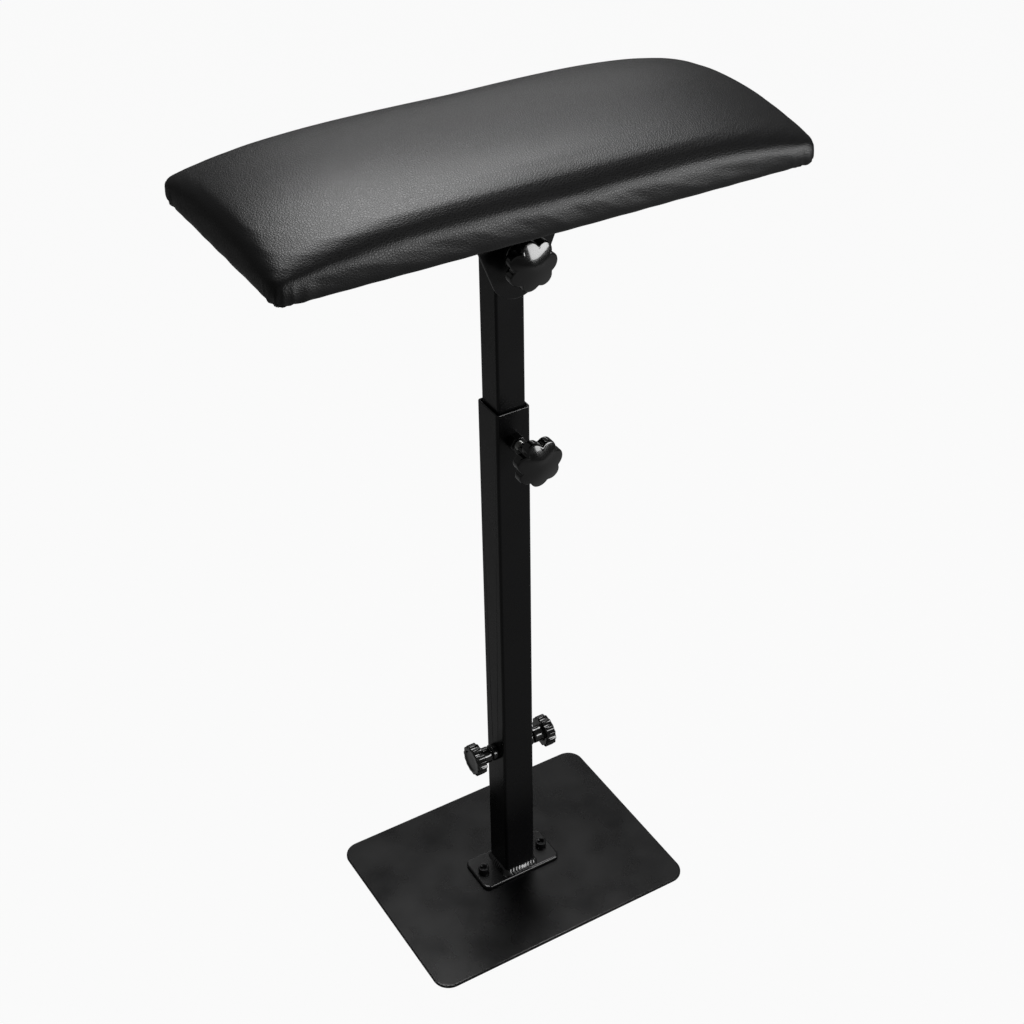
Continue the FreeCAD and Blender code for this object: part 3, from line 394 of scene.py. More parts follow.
steelPieces = [   # CAD node, piece, material, body, material slot
    ("base_plate", "footPlate", "coat", "base", "black_powder_coat"),
    ("lower_tube", "lowerTube", "coat", "base", "black_powder_coat"),
    ("height_clamp_nut", "heightNut", "thickCoat", "base", "black_powder_coat"),
    ("left_clamp_nut", "leftNut", "thickCoat", "base", "black_powder_coat"),
    ("right_clamp_nut", "rightNut", "thickCoat", "base", "black_powder_coat"),
    ("flange_bolts", "flangeScrews", "oxide", "base", "black_oxide_steel"),
    ("upper_tube", "upperTube", "coat", "mast", "black_powder_coat"),
    ("mast_top_plug", "topPlug", "plug", "mast", "plug_plastic"),
    ("mast_foot_plug", "footPlug", "plug", "mast", "plug_plastic"),
    ("tilt_clamp_nut", "tiltNut", "coat", "mast", "black_powder_coat"),
    ("tilt_bracket", "tiltEar", "coat", "armrest", "black_powder_coat"),
    ("tilt_washer", "tiltWasher", "zinc", "armrest", "zinc_plated_steel"),
    ("bracket_screws", "bracketScrews", "oxide", "armrest", "black_oxide_steel"),
]
softEdges = {"base_plate": 0.5 * mm, "lower_tube": 0.8 * mm,
             "height_clamp_nut": 0.5 * mm, "tilt_clamp_nut": 0.5 * mm, "tilt_bracket": 0.5 * mm,
             "left_clamp_nut": 0.5 * mm, "right_clamp_nut": 0.5 * mm, "tilt_washer": 0.3 * mm}
for node, name, material, body, slotName in steelPieces:
    piece = dressedCopy(node, name, material, body, bevel=softEdges.get(node, 0.0))
    if node in ("tilt_bracket", "bracket_screws"):
        leanPiece(piece)
leanPiece(dressedCopy("board_tee_nuts", "teeNuts", "zinc", "armrest"))
leanPiece(dressedCopy("pad_board", "padBoard", "wood", "armrest"), padShift)
print("steel pieces dressed:", len(steelPieces))


# flange, its holes hidden by the screws' heads

flange = {"corner": 6 * mm, "edge": 1.4 * mm}


def roundedPlate(node, corner, edge):
    # plan outlines drawn in round a quarter circle at the foot and at the top, with one more
    # just inside it that keeps each face flat
    low, high = (np.array(v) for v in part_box(node))
    length, width = (high - low)[:2]
    angle = np.radians([0, 22.5, 45, 67.5, 90])
    inset = np.append(edge * (1 - np.cos(angle)), edge + 0.3 * mm)
    drop = np.append(edge * (1 - np.sin(angle)), 0)
    rows = list(zip(inset[::-1], low[2] + drop[::-1])) + list(zip(inset, high[2] - drop))
    rings = []
    for inward, z in rows:
        plan = roundedOutline(length - 2 * inward, width - 2 * inward, corner - inward, (1, 1), 10)
        rings.append(np.hstack([plan + (low + high)[:2] / 2, np.full((len(plan), 1), z)]))
    return closedRings(np.array(rings))


plate = makePiece("footFlange", roundedPlate("post_flange", flange["corner"], flange["edge"]),
                  "thickCoat", "base", sharp=60)
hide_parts("post_flange")
print("flange made")


# weld bead round the foot of the lower tube

weld = {"half": 15 * mm, "corner": 2.5 * mm, "leg": 3.3 * mm, "rise": 4.8 * mm, "ripple": 3.1 * mm,
        "rippleShare": 0.12, "lag": 0.9 * mm, "flatness": 1.7, "overlap": 0.2 * mm,
        "foot": 7 * mm, "steps": 760, "across": 9}


def squareRun(half, corner, count):
    # points and outward normals at even steps round a square with round corners
    side, bend = 2 * (half - corner), math.pi / 2 * corner
    run = np.arange(count) / count * 4 * (side + bend)
    quarter, rest = np.divmod(run, side + bend)
    onSide = rest < side
    turn = np.where(onSide, 0, (rest - side) / corner)
    local = np.stack([
        np.where(onSide, rest - side / 2, side / 2 + corner * np.sin(turn)),
        np.where(onSide, -half, -half + corner * (1 - np.cos(turn))),
    ], -1)
    normal = np.stack([np.sin(turn), -np.cos(turn)], -1)
    angle = quarter * math.pi / 2
    spin = np.stack([np.stack([np.cos(angle), -np.sin(angle)], -1),
                     np.stack([np.sin(angle), np.cos(angle)], -1)], -2)
    return np.einsum("nij,nj->ni", spin, local), np.einsum("nij,nj->ni", spin, normal), run


def weldBead():
    # a bead in the corner of tube and flange: out by a power of the cosine of an angle, up by
    # that power of its sine; its leg swells and falls with sines of the distance along the run,
    # and each ripple lags towards the bead's edges
    at, normal, run = squareRun(weld["half"], weld["corner"], weld["steps"])
    angle = np.linspace(0, math.pi / 2, weld["across"])
    lag = weld["lag"] * np.cos(2 * angle - math.pi / 2)
    wave = np.abs(np.sin(math.pi * (run[:, None] + lag[None, :]) / weld["ripple"]))
    along = run[:, None]
    drift = 1 + 0.12 * np.sin(along / (17 * mm)) + 0.08 * np.sin(along / (5.3 * mm) + 1)
    ripple = weld["rippleShare"] * (1 + 0.8 * np.sin(along / (3.7 * mm) + 0.6))
    leg = weld["leg"] * drift * (1 - ripple * (1 - wave ** 0.6))
    out = leg * np.cos(angle) ** weld["flatness"]
    up = leg * weld["rise"] / weld["leg"] * np.sin(angle) ** weld["flatness"]
    root = np.full((len(run), 1), -weld["overlap"])
    out = np.hstack([root, out, root])
    up = np.hstack([0 * root, up, up[:, -1:]])
    rings = np.zeros((len(run), out.shape[1], 3))
    rings[..., :2] = at[:, None, :] + normal[:, None, :] * out[..., None]
    rings[..., 2] = weld["foot"] + up
    return closedTube(rings)


bead = makePiece("footWeldBead", weldBead(), "thickCoat", "base", sharp=60)
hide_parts("foot_weld")
print("weld bead made")


# threaded screws

thread = {"M8": (4 * mm, 1.25 * mm), "M6": (3 * mm, 1.0 * mm),   # radius and pitch
          "depth": 0.61, "rings": 10, "around": 40}              # depth and rings for one pitch
screws = {
    "heightScrew": dict(node="height_knob_stud", body="height_knob", facing="front", size="M8"),
    "tiltScrew": dict(node="tilt_knob_stud", body="tilt_knob", facing="front", size="M8"),
    "leftScrew": dict(node="left_knob_stud", body="left_side_knob", facing="left", size="M6"),
    "rightScrew": dict(node="right_knob_stud", body="right_side_knob", facing="right", size="M6"),
}


def threadedScrew(spec):
    # radius falls from the crest by the thread's depth times a triangle wave of the
    # height over the pitch less the turn, and tapers in at the tip
    low, high = (np.array(v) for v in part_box(spec["node"]))
    axis = 1 if spec["facing"] == "front" else 0
    length = (high - low)[axis]
    base = (low + high) / 2
    base[axis] = low[axis] if spec["facing"] == "right" else high[axis]
    radius, pitch = thread[spec["size"]]
    depth = thread["depth"] * pitch
    z = np.linspace(0, length, int(length / pitch * thread["rings"]))[:, None]
    theta = (np.arange(thread["around"]) / thread["around"] * 2 * math.pi)[None, :]
    phase = (z / pitch - theta / (2 * math.pi)) % 1
    cut = np.abs(2 * phase - 1)
    r = radius - depth * np.clip(cut * 1.25 - 0.125, 0, 1)
    taper = radius - np.clip(1 * mm - z, 0, None)
    r = np.minimum(r, taper)
    rings = np.stack([r * np.cos(theta), r * np.sin(theta), z + 0 * theta], -1)
    return closedRings(facing(spec["facing"], base)(rings))


for name, spec in screws.items():
    screw = makePiece(name, threadedScrew(spec), "zinc", spec["body"],
                      sharp=50)
    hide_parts(spec["node"])
print("screws threaded:", len(screws))


# star knobs

star = {"lobes": 7, "radius": 20.5 * mm, "lobe": 6.6 * mm, "blend": 0.9 * mm, "depth": 13 * mm,
        "edge": 2.0 * mm, "dome": 5.2 * mm, "domePower": 1.6, "back": 1.1 * mm, "hub": 9.6 * mm,
        "hubLength": 12.5 * mm, "ribs": 14, "rib": 0.9 * mm, "bore": 4.06 * mm, "around": 336}


def outlineRadius(distance, theta, inset, reach):
    # the radius in each direction at which a distance field equals minus the inset, by
    # halving the span 40 times
    low, high = np.zeros_like(theta), np.full_like(theta, reach)
    for _ in range(40):
        middle = (low + high) / 2
        inside = distance(middle, theta) < -inset
        low, high = np.where(inside, middle, low), np.where(inside, high, middle)
    return (low + high) / 2


def toCircle(r, theta, ring, at):
    # the distance to a point on a ring about the axis, by the law of cosines
    return np.sqrt(r ** 2 + ring ** 2 - 2 * r * ring * np.cos(theta - at))


def starDistance(r, theta):
    # a soft minimum, minus the blend times the log of the summed exponentials, of the
    # distances to a core circle and to the circle of each lobe
    ring = star["radius"] - star["lobe"]
    total = np.exp(-(r - ring) / star["blend"])
    for k in range(star["lobes"]):
        at = 2 * math.pi * k / star["lobes"]
        gap = toCircle(r, theta, ring, at) - star["lobe"]
        total = total + np.exp(-gap / star["blend"])
    return -star["blend"] * np.log(total)


def starKnob(base, turn):
    # rings of a height and a radius in each direction, from the hub's back to the face
    theta = np.arange(star["around"]) / star["around"] * 2 * math.pi
    outline = lambda inset: outlineRadius(starDistance, theta, inset, 0.03)
    circle = np.ones_like(theta)
    # the hub's ribs: half-round tops with narrow grooves between them
    hub = star["hub"] - star["rib"] * (1 - np.abs(np.cos(theta * star["ribs"] / 2)) ** 0.7)
    total = star["hubLength"] + star["depth"]
    rows = [(0.0, circle * star["bore"]), (0.0, hub - 0.7 * mm), (0.25 * mm, hub - 0.2 * mm),
            (0.8 * mm, hub)]
    rows += [(z, hub) for z in np.linspace(1.5 * mm, star["hubLength"] - 1.2 * mm, 5)]
    rows += [(star["hubLength"] - 0.4 * mm, hub + 0.15 * mm), (star["hubLength"], hub + 0.7 * mm)]
    backEdge = outline(star["back"])
    rows += [(star["hubLength"], hub + 0.7 * mm + (backEdge - hub - 0.7 * mm) * s)
             for s in (0.35, 0.7, 0.92)]
    for angle in np.radians([0, 22, 45, 68, 90]):
        rows.append((star["hubLength"] + star["back"] * (1 - math.cos(angle)),
                     outline(star["back"] * (1 - math.sin(angle)))))
    # the face is a dome whose height falls as a power of the distance from the axis,
    # and its edge is rounded down to the side
    lastTurn = math.radians(70)
    face = outline(star["edge"] * (1 - math.cos(lastTurn)))
    rim = total - star["dome"] * (face / star["radius"]) ** star["domePower"]
    foot = star["hubLength"] + star["back"]
    rows += [(foot + share * (rim - star["edge"] - foot), outline(0)) for share in (0.35, 0.7)]
    for angle in np.linspace(0, lastTurn, 8):
        rows.append((rim - star["edge"] * (math.sin(lastTurn) - math.sin(angle)),
                     outline(star["edge"] * (1 - math.cos(angle)))))
    for share in (0.94, 0.86, 0.76, 0.66, 0.55, 0.44, 0.33, 0.22, 0.1):
        drop = star["dome"] * (face * share / star["radius"]) ** star["domePower"]
        rows.append((total - drop, face * share))
    rings = np.zeros((len(rows), len(theta), 3))
    for k, (z, r) in enumerate(rows):
        rings[k] = np.stack([r * np.cos(theta + turn), r * np.sin(theta + turn), z + 0 * r], -1)
    return closedRings(facing("front", base)(rings))


def hubBack(node, axis, sign):
    # the middle of a knob's hub at its back, from the CAD node's box
    low, high = (np.array(v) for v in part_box(node))
    base = (low + high) / 2
    base[axis] = high[axis] if sign > 0 else low[axis]
    return base


for name, node, body, stud, turn in (
        ("heightStarKnob", "height_knob_grip", "height_knob", "height_knob_stud", 8),
        ("tiltStarKnob", "tilt_knob_grip", "tilt_knob", "tilt_knob_stud", 0)):
    base = hubBack(node, 1, 1)
    low, high = (np.array(v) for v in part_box(stud))
    base[[0, 2]] = ((low + high) / 2)[[0, 2]]
    knob = makePiece(name, starKnob(base, math.radians(turn)), "knob", body,
                     sharp=50)
    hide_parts(node)
print("star knobs made")


# fluted side knobs

fluted = {"flutes": 14, "radius": 15.45 * mm, "flute": 2.3 * mm, "blend": 1.1 * mm,
          "depth": 9.5 * mm, "edge": 1.2 * mm, "hub": 7.25 * mm, "hubLength": 8.5 * mm,
          "bore": 3.06 * mm, "around": 280, "dish": 1.1 * mm, "rim": 3.2 * mm}


def flutedDistance(r, theta):
    # a soft maximum of the distance to the round rim and the depth into each flute's circle
    rim = r - fluted["radius"]
    total = np.exp(rim / fluted["blend"])
    for k in range(fluted["flutes"]):
        at = 2 * math.pi * k / fluted["flutes"]
        gap = toCircle(r, theta, fluted["radius"], at)
        total = total + np.exp((fluted["flute"] - gap) / fluted["blend"])
    return fluted["blend"] * np.log(total)


def flutedKnob(base, side):
    # rings as on the star knobs, with a raised rim round a shallow dished face
    theta = np.arange(fluted["around"]) / fluted["around"] * 2 * math.pi
    outline = lambda inset: outlineRadius(flutedDistance, theta, inset, 0.02)
    circle = np.ones_like(theta)
    total = fluted["hubLength"] + fluted["depth"]
    hub = fluted["hub"]
    rows = [(0.0, circle * fluted["bore"]), (0.0, circle * (hub - 0.6 * mm)),
            (0.3 * mm, circle * (hub - 0.15 * mm)), (0.8 * mm, circle * hub)]
    rows += [(z, circle * hub) for z in (3 * mm, 6 * mm, fluted["hubLength"] - 0.8 * mm)]
    rows += [(fluted["hubLength"] - 0.2 * mm, circle * (hub + 0.25 * mm)),
             (fluted["hubLength"], circle * (hub + 0.9 * mm))]
    backEdge = outline(fluted["edge"])
    rows += [(fluted["hubLength"], hub + 0.9 * mm + (backEdge - hub - 0.9 * mm) * s)
             for s in (0.4, 0.8)]
    for angle in np.radians([0, 22, 45, 68, 90]):
        rows.append((fluted["hubLength"] + fluted["edge"] * (1 - math.cos(angle)),
                     outline(fluted["edge"] * (1 - math.sin(angle)))))
    rows.append((fluted["hubLength"] + fluted["depth"] / 2, outline(0)))
    for angle in np.radians([0, 22, 45, 68, 90]):
        rows.append((total - fluted["edge"] * (1 - math.sin(angle)),
                     outline(fluted["edge"] * (1 - math.cos(angle)))))
    inner = fluted["radius"] - fluted["flute"] - fluted["rim"]
    rows += [(total, circle * (inner + 0.5 * mm)), (total - 0.15 * mm, circle * inner),
             (total - fluted["dish"] * 0.8, circle * (inner - 0.8 * mm)),
             (total - fluted["dish"], circle * (inner - 1.6 * mm)),
             (total - fluted["dish"], circle * inner * 0.4)]
    rings = np.zeros((len(rows), len(theta), 3))
    for k, (z, r) in enumerate(rows):
        rings[k] = np.stack([r * np.cos(theta), r * np.sin(theta), z + 0 * r], -1)
    return closedRings(facing(side, base)(rings))


for side, sign in (("left", 1), ("right", -1)):
    base = hubBack(f"{side}_knob_grip", 0, sign)
    knob = makePiece(f"{side}FlutedKnob", flutedKnob(base, side), "knob", f"{side}_side_knob",
                     sharp=50)
    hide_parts(f"{side}_knob_grip")
print("side knobs made")


# leather pad

padLow, padHigh = (np.array(v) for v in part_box("pad_cover"))
pad = {"length": (padHigh - padLow)[0], "width": (padHigh - padLow)[1], "foot": padLow[2],
       "height": 48 * mm, "corner": 9 * mm, "slack": 0.2 * mm,
       "tuck": 2.2 * mm, "tuckHeight": 6.5 * mm, "ridge": 15 * mm,
       "archDrop": 0.345, "archPower": 4.1, "crownDrop": 0.295, "crownPower": 2.0,
       "sideReach": 18 * mm, "endReach": 10 * mm, "shoulderPower": 2.35,
       "voxel": 4.5 * mm, "cap": 3 * mm, "pressure": 1.5, "evening": 40}


def padTop(x, y, halfLength, halfWidth):
    # height over the foot: the ridge, plus the rise from it to a top that drops as a power of
    # the distance along and across, times superelliptic shoulders at the ends and the sides
    top = pad["height"] * (1 - pad["archDrop"] * np.abs(x / halfLength) ** pad["archPower"]
                           - pad["crownDrop"] * np.abs(y / halfWidth) ** pad["crownPower"])
    power = pad["shoulderPower"]
    ends, sides = (
        (1 - (1 - np.clip(gap / reach, 0, 1)) ** power) ** (1 / power)
        for gap, reach in ((halfLength - np.abs(x), pad["endReach"]),
                           (halfWidth - np.abs(y), pad["sideReach"])))
    return pad["ridge"] + (top - pad["ridge"]) * ends * sides


def padRings(slack):
    # plan outlines, first at rising heights: the foot tucks in as a quarter ellipse and the
    # side is upright up to the ridge; then drawn in over the top, down to a small ring
    halfLength, halfWidth = pad["length"] / 2 - slack, pad["width"] / 2 - slack
    rings = []
    for angle in np.linspace(0, math.pi / 2, 6):
        tuck = pad["tuck"] * (1 - math.sin(angle)) - 0.8 * mm * math.cos(angle)
        plan = roundedOutline(2 * (halfLength - tuck), 2 * (halfWidth - tuck), pad["corner"])
        z = np.full((len(plan), 1), pad["tuckHeight"] * (1 - math.cos(angle)))
        rings.append(np.hstack([plan, z]))
    share = np.concatenate([[0, 0.004, 0.012, 0.024, 0.04, 0.06, 0.085, 0.115, 0.15, 0.19],
                            np.linspace(0.24, 0.97, 16)])
    for draw in share:
        inset = draw * halfWidth
        extra = (halfLength - halfWidth) * draw ** 3
        plan = roundedOutline(2 * (halfLength - inset - extra), 2 * (halfWidth - inset),
                              min(pad["corner"] + 0.4 * inset, 0.9 * (halfWidth - inset)))
        z = padTop(plan[:, 0], plan[:, 1], halfLength, halfWidth)
        rings.append(np.hstack([plan, z[:, None]]))
    rings = np.array(rings)
    rings[..., 2] += pad["foot"]
    return rings


def meshPoints(mesh):
    flat = np.empty(len(mesh.vertices) * 3)
    mesh.vertices.foreach_get("co", flat)
    return flat.reshape(-1, 3)


def applied(piece, *modifiers):
    # the piece with its modifiers made real
    mesh = bpy.data.meshes.new_from_object(
        piece.evaluated_get(bpy.context.evaluated_depsgraph_get()))
    for modifier in modifiers:
        piece.modifiers.remove(modifier)
    piece.data = mesh


padCover = makePiece("leatherPad", closedRings(padRings(pad["slack"])), "leather", "armrest",
                     sharp=180)
remesh = padCover.modifiers.new("even cloth", "REMESH")
remesh.mode = "VOXEL"
remesh.voxel_size = pad["voxel"]
applied(padCover, remesh)
start = meshPoints(padCover.data)
held = padCover.vertex_groups.new(name="stapled")
held.add(np.flatnonzero(start[:, 2] < pad["foot"] + 3 * mm).tolist(), 1.0, "REPLACE")
cloth = padCover.modifiers.new("filling", "CLOTH")
cloth.settings.quality = 6
cloth.settings.use_pressure = True
cloth.settings.uniform_pressure_force = pad["pressure"]
cloth.settings.effector_weights.gravity = 0
cloth.settings.vertex_group_mass = "stapled"
cloth.settings.tension_stiffness = 18
cloth.settings.compression_stiffness = 18
cloth.settings.bending_stiffness = 2
cloth.collision_settings.use_collision = False
for step in range(1, 21):
    bpy.context.scene.frame_set(step)
filled = bpy.data.meshes.new_from_object(
    padCover.evaluated_get(bpy.context.evaluated_depsgraph_get()))
move = meshPoints(filled) - start
size = np.linalg.norm(move, axis=1, keepdims=True)
move *= np.minimum(1, pad["cap"] / np.maximum(size, 1e-9))
# evened out over the edges, as thick leather on firm foam takes no sharp dent
ends = np.empty(len(padCover.data.edges) * 2, np.int64)
padCover.data.edges.foreach_get("vertices", ends)
first, second = ends.reshape(-1, 2).T
shares = np.bincount(ends, minlength=len(move))[:, None]
for _ in range(pad["evening"]):
    total = np.zeros_like(move)
    np.add.at(total, first, move[second])
    np.add.at(total, second, move[first])
    move = 0.5 * move + 0.5 * total / shares
padCover.modifiers.remove(cloth)
padCover.vertex_groups.clear()
padCover.data.vertices.foreach_set("co", (start + move).ravel())
bpy.context.scene.frame_set(1)
print("pad filled: mean move", round(float(np.linalg.norm(move, axis=1).mean()) / mm, 2), "mm")
finer = padCover.modifiers.new("finer", "SUBSURF")
finer.levels = finer.render_levels = 1
applied(padCover, finer)


folds = {"gather": 1.1 * mm, "gatherReach": 26 * mm, "gatherWaves": 17,
         "pucker": 0.2 * mm, "puckerPitch": 27 * mm,
         "crease": 0.35 * mm, "creasePitch": 61 * mm, "sideReach": 7 * mm}


def dressLeather(points):
    # adds to each point: gathers at the four lower corners and puckers along the lower edges,
    # both cosine waves that fade with height, and a few slanting creases on the sides
    x, y, z = points.T
    up = (z - pad["foot"]) / mm
    halfX, halfY = pad["length"] / 2, pad["width"] / 2
    cornerX, cornerY = np.abs(x) - (halfX - pad["corner"]), np.abs(y) - (halfY - pad["corner"])
    angle = np.arctan2(np.maximum(cornerY, -0.03), np.maximum(cornerX, -0.03))
    gapX, gapY = halfX - np.abs(x), halfY - np.abs(y)
    near = np.exp(-(gapX / folds["gatherReach"]) ** 2 - (gapY / folds["gatherReach"]) ** 2)
    onEnd = gapX < gapY
    outX = np.where(onEnd, 1.0, 0.15) * np.sign(x)
    outY = np.where(onEnd, 0.15, 1.0) * np.sign(y)
    low = np.exp(-(up / 11) ** 2)
    gather = (folds["gather"] * near * low
              * np.cos(angle * folds["gatherWaves"] + 1.3 * np.sin(7 * angle + x * 40)))
    run = np.where(onEnd, y, x)
    wander = 0.6 * np.sin(run * 90)
    pucker = (folds["pucker"] * np.exp(-(up / 9) ** 2)
              * np.cos(2 * math.pi * run / folds["puckerPitch"] + wander))
    side = np.exp(-(np.minimum(gapX, gapY) / folds["sideReach"]) ** 2)
    slant = np.sin(run * 2 * math.pi / folds["creasePitch"] + up * 0.23 + 2 * np.sin(run * 23))
    crease = folds["crease"] * slant ** 3 * side * np.exp(-((up - 12) / 10) ** 2)
    push = gather + (pucker + crease) * side
    moved = points.copy()
    moved[:, 0] += outX * push
    moved[:, 1] += outY * push
    return moved


padCover.data.vertices.foreach_set("co", dressLeather(meshPoints(padCover.data)).ravel())
padCover.data.polygons.foreach_set("use_smooth", np.ones(len(padCover.data.polygons), bool))
leanPiece(padCover, padShift)
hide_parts("pad_cover", "pad_foam")
print("leather pad made:", len(padCover.data.polygons), "faces")


# dust cloth and its staples on the pad's underside

clothLow, clothHigh = (np.array(v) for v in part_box("underside_cloth"))
dust = {"length": (clothHigh - clothLow)[0], "width": (clothHigh - clothLow)[1],
        "corner": 7.5 * mm, "top": clothHigh[2], "thickness": (clothHigh - clothLow)[2],
        "hem": 9 * mm, "hemDrop": 0.35 * mm, "pucker": 0.3 * mm, "pitch": 31 * mm,
        "staple": (10.5 * mm, 1.2 * mm, 0.7 * mm),   # length, width and height
        "inset": 4.5 * mm, "endGap": 16 * mm, "skew": 0.09}


def dustCloth():
    # plan outlines shrinking from the edge to the middle; the lower face drops by a smooth
    # step in the hem and by puckers, a cosine of the run between staples, that fade inwards
    fractions = [0.0, 0.004, 0.012, 0.02, 0.028, 0.036, 0.044, 0.052, 0.07, 0.1, 0.15, 0.25, 0.4]
    lower, upper = [], []
    for share in fractions:
        inward = share * dust["length"] / 2
        length, width = dust["length"] - 2 * inward, dust["width"] - 2 * inward
        plan = roundedOutline(length, width, min(dust["corner"], 0.3 * width), (130, 52), 8)
        run = np.where(np.abs(np.abs(plan[:, 0]) - length / 2) < 1e-6, plan[:, 1], plan[:, 0])
        fade = math.exp(-(inward / (9 * mm)) ** 2)
        hem = 1 / (1 + math.exp((inward - dust["hem"]) / (0.5 * mm)))
        wave = 0.5 - 0.5 * np.cos(2 * math.pi * run / dust["pitch"])
        drop = dust["hemDrop"] * hem + dust["pucker"] * fade * wave
        lower.append(np.hstack([plan, (dust["top"] - dust["thickness"] - drop)[:, None]]))
        upper.append(np.hstack([plan, np.full((len(plan), 1), dust["top"])]))
    return closedRings(np.array(upper[::-1] + lower))


cloth = makePiece("dustCloth", dustCloth(), "cloth", "armrest", sharp=60)
leanPiece(cloth, padShift)
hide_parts("underside_cloth")


def staples():
    # one flat wire crown after another round the hem: a six-sided profile with its ends turned
    # up, given a width, turned by a sine of its number along the line, and set down on the hem
    crown, wire, rise = dust["staple"]
    length, width = dust["length"] - 2 * dust["inset"], dust["width"] - 2 * dust["inset"]
    places, turns = [], []
    for half, other, along in ((length / 2, width / 2, 0), (width / 2, length / 2, 1)):
        count = int((2 * half - dust["endGap"]) // dust["pitch"])
        number = np.arange(count + 1)
        run = (number - count / 2) * dust["pitch"]
        for sign in (-1, 1):
            line = np.stack([run, np.full(len(run), sign * other)], -1)
            places.append(line[:, ::-1] if along else line)
            turns.append(dust["skew"] * np.sin(3.7 * number + 5 * sign + along)
                         + along * math.pi / 2)
    places, turns = np.vstack(places), np.concatenate(turns)[:, None]
    profile = np.array([[-0.5, 0.0], [-0.5, -0.7], [-0.44, -1.0],
                        [0.44, -1.0], [0.5, -0.7], [0.5, 0.0]])
    corners = len(profile)
    x, z = np.tile(profile, (2, 1)).T * [[crown], [rise]]
    y = np.repeat([-0.5, 0.5], corners) * wire
    level = dust["top"] - dust["thickness"] - dust["hemDrop"]
    points = np.stack([places[:, :1] + np.cos(turns) * x - np.sin(turns) * y,
                       places[:, 1:] + np.sin(turns) * x + np.cos(turns) * y,
                       level + z + 0 * turns], -1)
    near = np.arange(corners)
    after = np.roll(near, -1)
    first = 2 * corners * np.arange(len(places))[:, None, None]
    ends = first + np.stack([near, 2 * corners - 1 - near])
    sides = first + np.stack([near, near + corners, after + corners, after], -1)
    return points.reshape(-1, 3), ends.reshape(-1, corners).tolist() + sides.reshape(-1, 4).tolist()


wires = makePiece("clothStaples", staples(), "zinc", "armrest", sharp=30)
leanPiece(wires, padShift)
print("underside made")


# floor, lamps and camera

stage = {"floor": "#828282", "tint": "#8a8a8a", "floorSize": 16.0,
         "room": 0.06,                               # soft light from all round
         "floorWhite": 0.95, "wallWhite": 0.9,       # the white that the camera sees
         "glossWhite": 0.03}


def backdropShare(tree, cameraWhite, base):
    # how much white a ray meets: the camera's share or that of gloss and glass, over a base
    path = addNode(tree, "LightPath")
    mirrored = addNode(tree, "Math", {"operation": "MAXIMUM"},
                       {"Value": (path, "Is Glossy Ray"),
                        "Value_001": (path, "Is Transmission Ray")})
    share = addNode(tree, "Math", {"operation": "MULTIPLY_ADD"},
                    {"Value": (mirrored, "Value"), "Value_001": stage["glossWhite"],
                     "Value_002": base})
    return addNode(tree, "Math", {"operation": "MULTIPLY_ADD"},
                   {"Value": (path, "Is Camera Ray"), "Value_001": cameraWhite,
                    "Value_002": (share, "Value")})


def paleFloor():
    # matt paper, lit and shaded by the lamps, with the backdrop's white mixed in
    material, tree, coords = newMaterial("mattPaperFloor")
    grain = addNode(tree, "TexNoise", None, {"Vector": (coords, "Object"), "Scale": 30.0})
    tint = addNode(tree, "Mix", {"data_type": "RGBA"},
                   {"Factor_Float": (grain, "Fac"), "A_Color": toLinear(stage["floor"]),
                    "B_Color": toLinear(stage["tint"])})
    paper = addNode(tree, "BsdfDiffuse", None, {"Color": (tint, "Result_Color")})
    glow = addNode(tree, "Emission", None, {"Color": toLinear("#ffffff"), "Strength": 1.0})
    seen = backdropShare(tree, stage["floorWhite"], 0.0)
    mixed = addNode(tree, "MixShader", None,
                    {"Fac": (seen, "Value"), "Shader": (paper, "BSDF"),
                     "Shader_001": (glow, "Emission")})
    addNode(tree, "OutputMaterial", links={"Surface": (mixed, "Shader")})
    return material


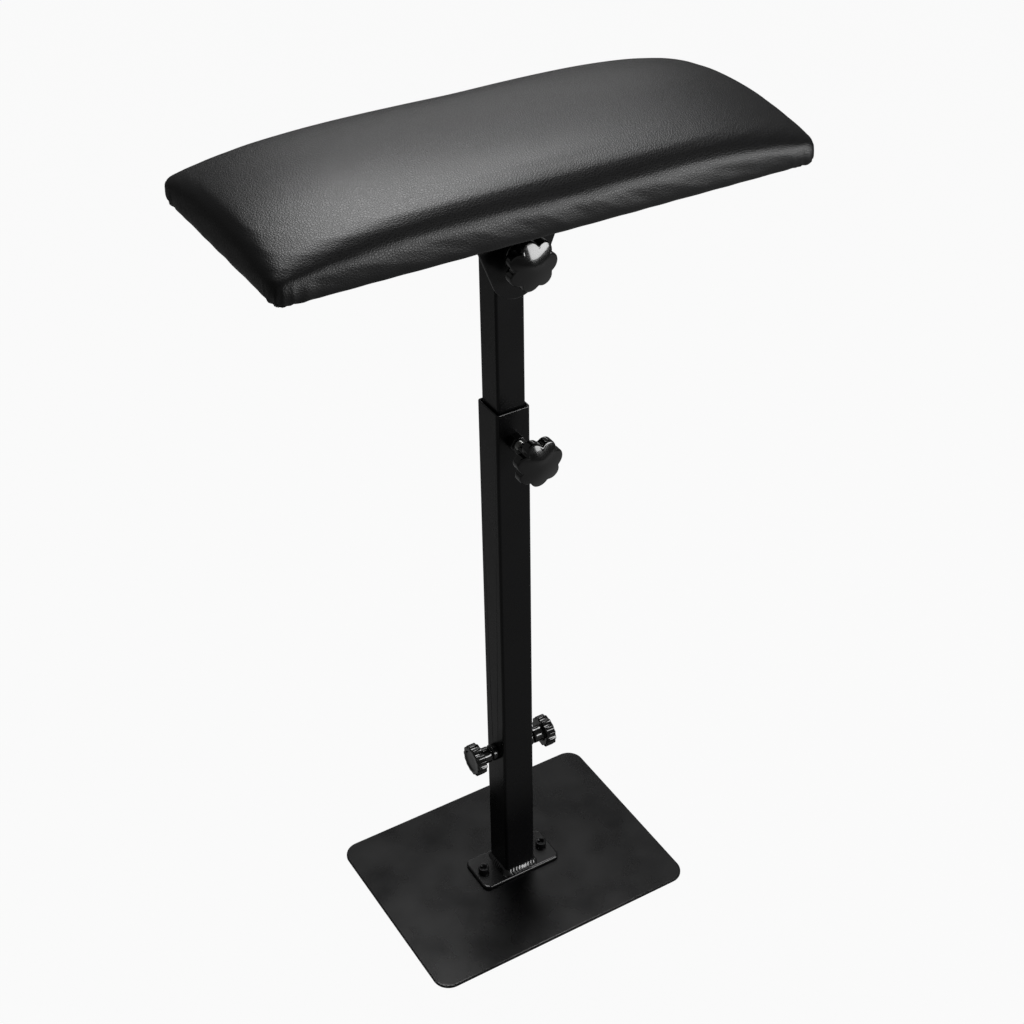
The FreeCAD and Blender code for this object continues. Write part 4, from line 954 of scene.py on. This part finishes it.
half = stage["floorSize"] / 2
floorMesh = bpy.data.meshes.new("paperFloor")
floorMesh.from_pydata([(-half, -half, 0), (half, -half, 0), (half, half, 0), (-half, half, 0)],
                      [], [(0, 1, 2, 3)])
floorMesh.materials.append(paleFloor())
floor = bpy.data.objects.new("paperFloor", floorMesh)
bpy.context.scene.collection.objects.link(floor)

world = bpy.data.worlds.new("paleRoom")
bpy.context.scene.world = world
world.use_nodes = True
tree = world.node_tree
tree.nodes.clear()
seen = backdropShare(tree, stage["wallWhite"], stage["room"])
room = addNode(tree, "Background", None,
               {"Color": toLinear("#ffffff"), "Strength": (seen, "Value")})
addNode(tree, "OutputWorld", links={"Surface": (room, "Background")})

lamps = {
    "topSoftbox": dict(place=(0.34, 0.60, 1.93), aim=(-0.03, 0.0, 0.7), size=(0.9, 0.75),
                       power=17.5),
    "backStrip": dict(place=(0.85, 1.75, 1.30), aim=(0.0, 0.0, 0.7), size=(1.1, 0.35), power=2.0),
    "frontPanel": dict(place=(1.12, -1.64, 0.75), aim=(0.05, -0.05, 0.6), size=(1.4, 0.6),
                       power=21),
}
for name, spec in lamps.items():
    data = bpy.data.lights.new(name, "AREA")
    data.shape = "RECTANGLE"
    data.size, data.size_y = spec["size"]
    data.energy = spec["power"]
    lamp = bpy.data.objects.new(name, data)
    lamp.location = spec["place"]
    towards = Vector(spec["aim"]) - Vector(spec["place"])
    lamp.rotation_euler = towards.to_track_quat("-Z", "Y").to_euler()
    bpy.context.scene.collection.objects.link(lamp)

view = {"place": (-0.5819, -1.0004, 1.2489), "round": 30.436, "down": 36.022, "roll": 0.956,
        "lens": 62.604}
camera = bpy.data.objects.new("photoCamera", bpy.data.cameras.new("photoCamera"))
camera.data.lens = view["lens"]
camera.data.sensor_width = 36
camera.data.clip_end = 60
turn = (Matrix.Rotation(math.radians(-view["round"]), 4, "Z")
        @ Matrix.Rotation(math.radians(90 - view["down"]), 4, "X")
        @ Matrix.Rotation(math.radians(-view["roll"]), 4, "Z"))
camera.location = view["place"]
camera.rotation_euler = turn.to_euler()
bpy.context.scene.collection.objects.link(camera)
bpy.context.scene.camera = camera
bpy.context.scene.view_settings.view_transform = "Standard"
print("stage set")
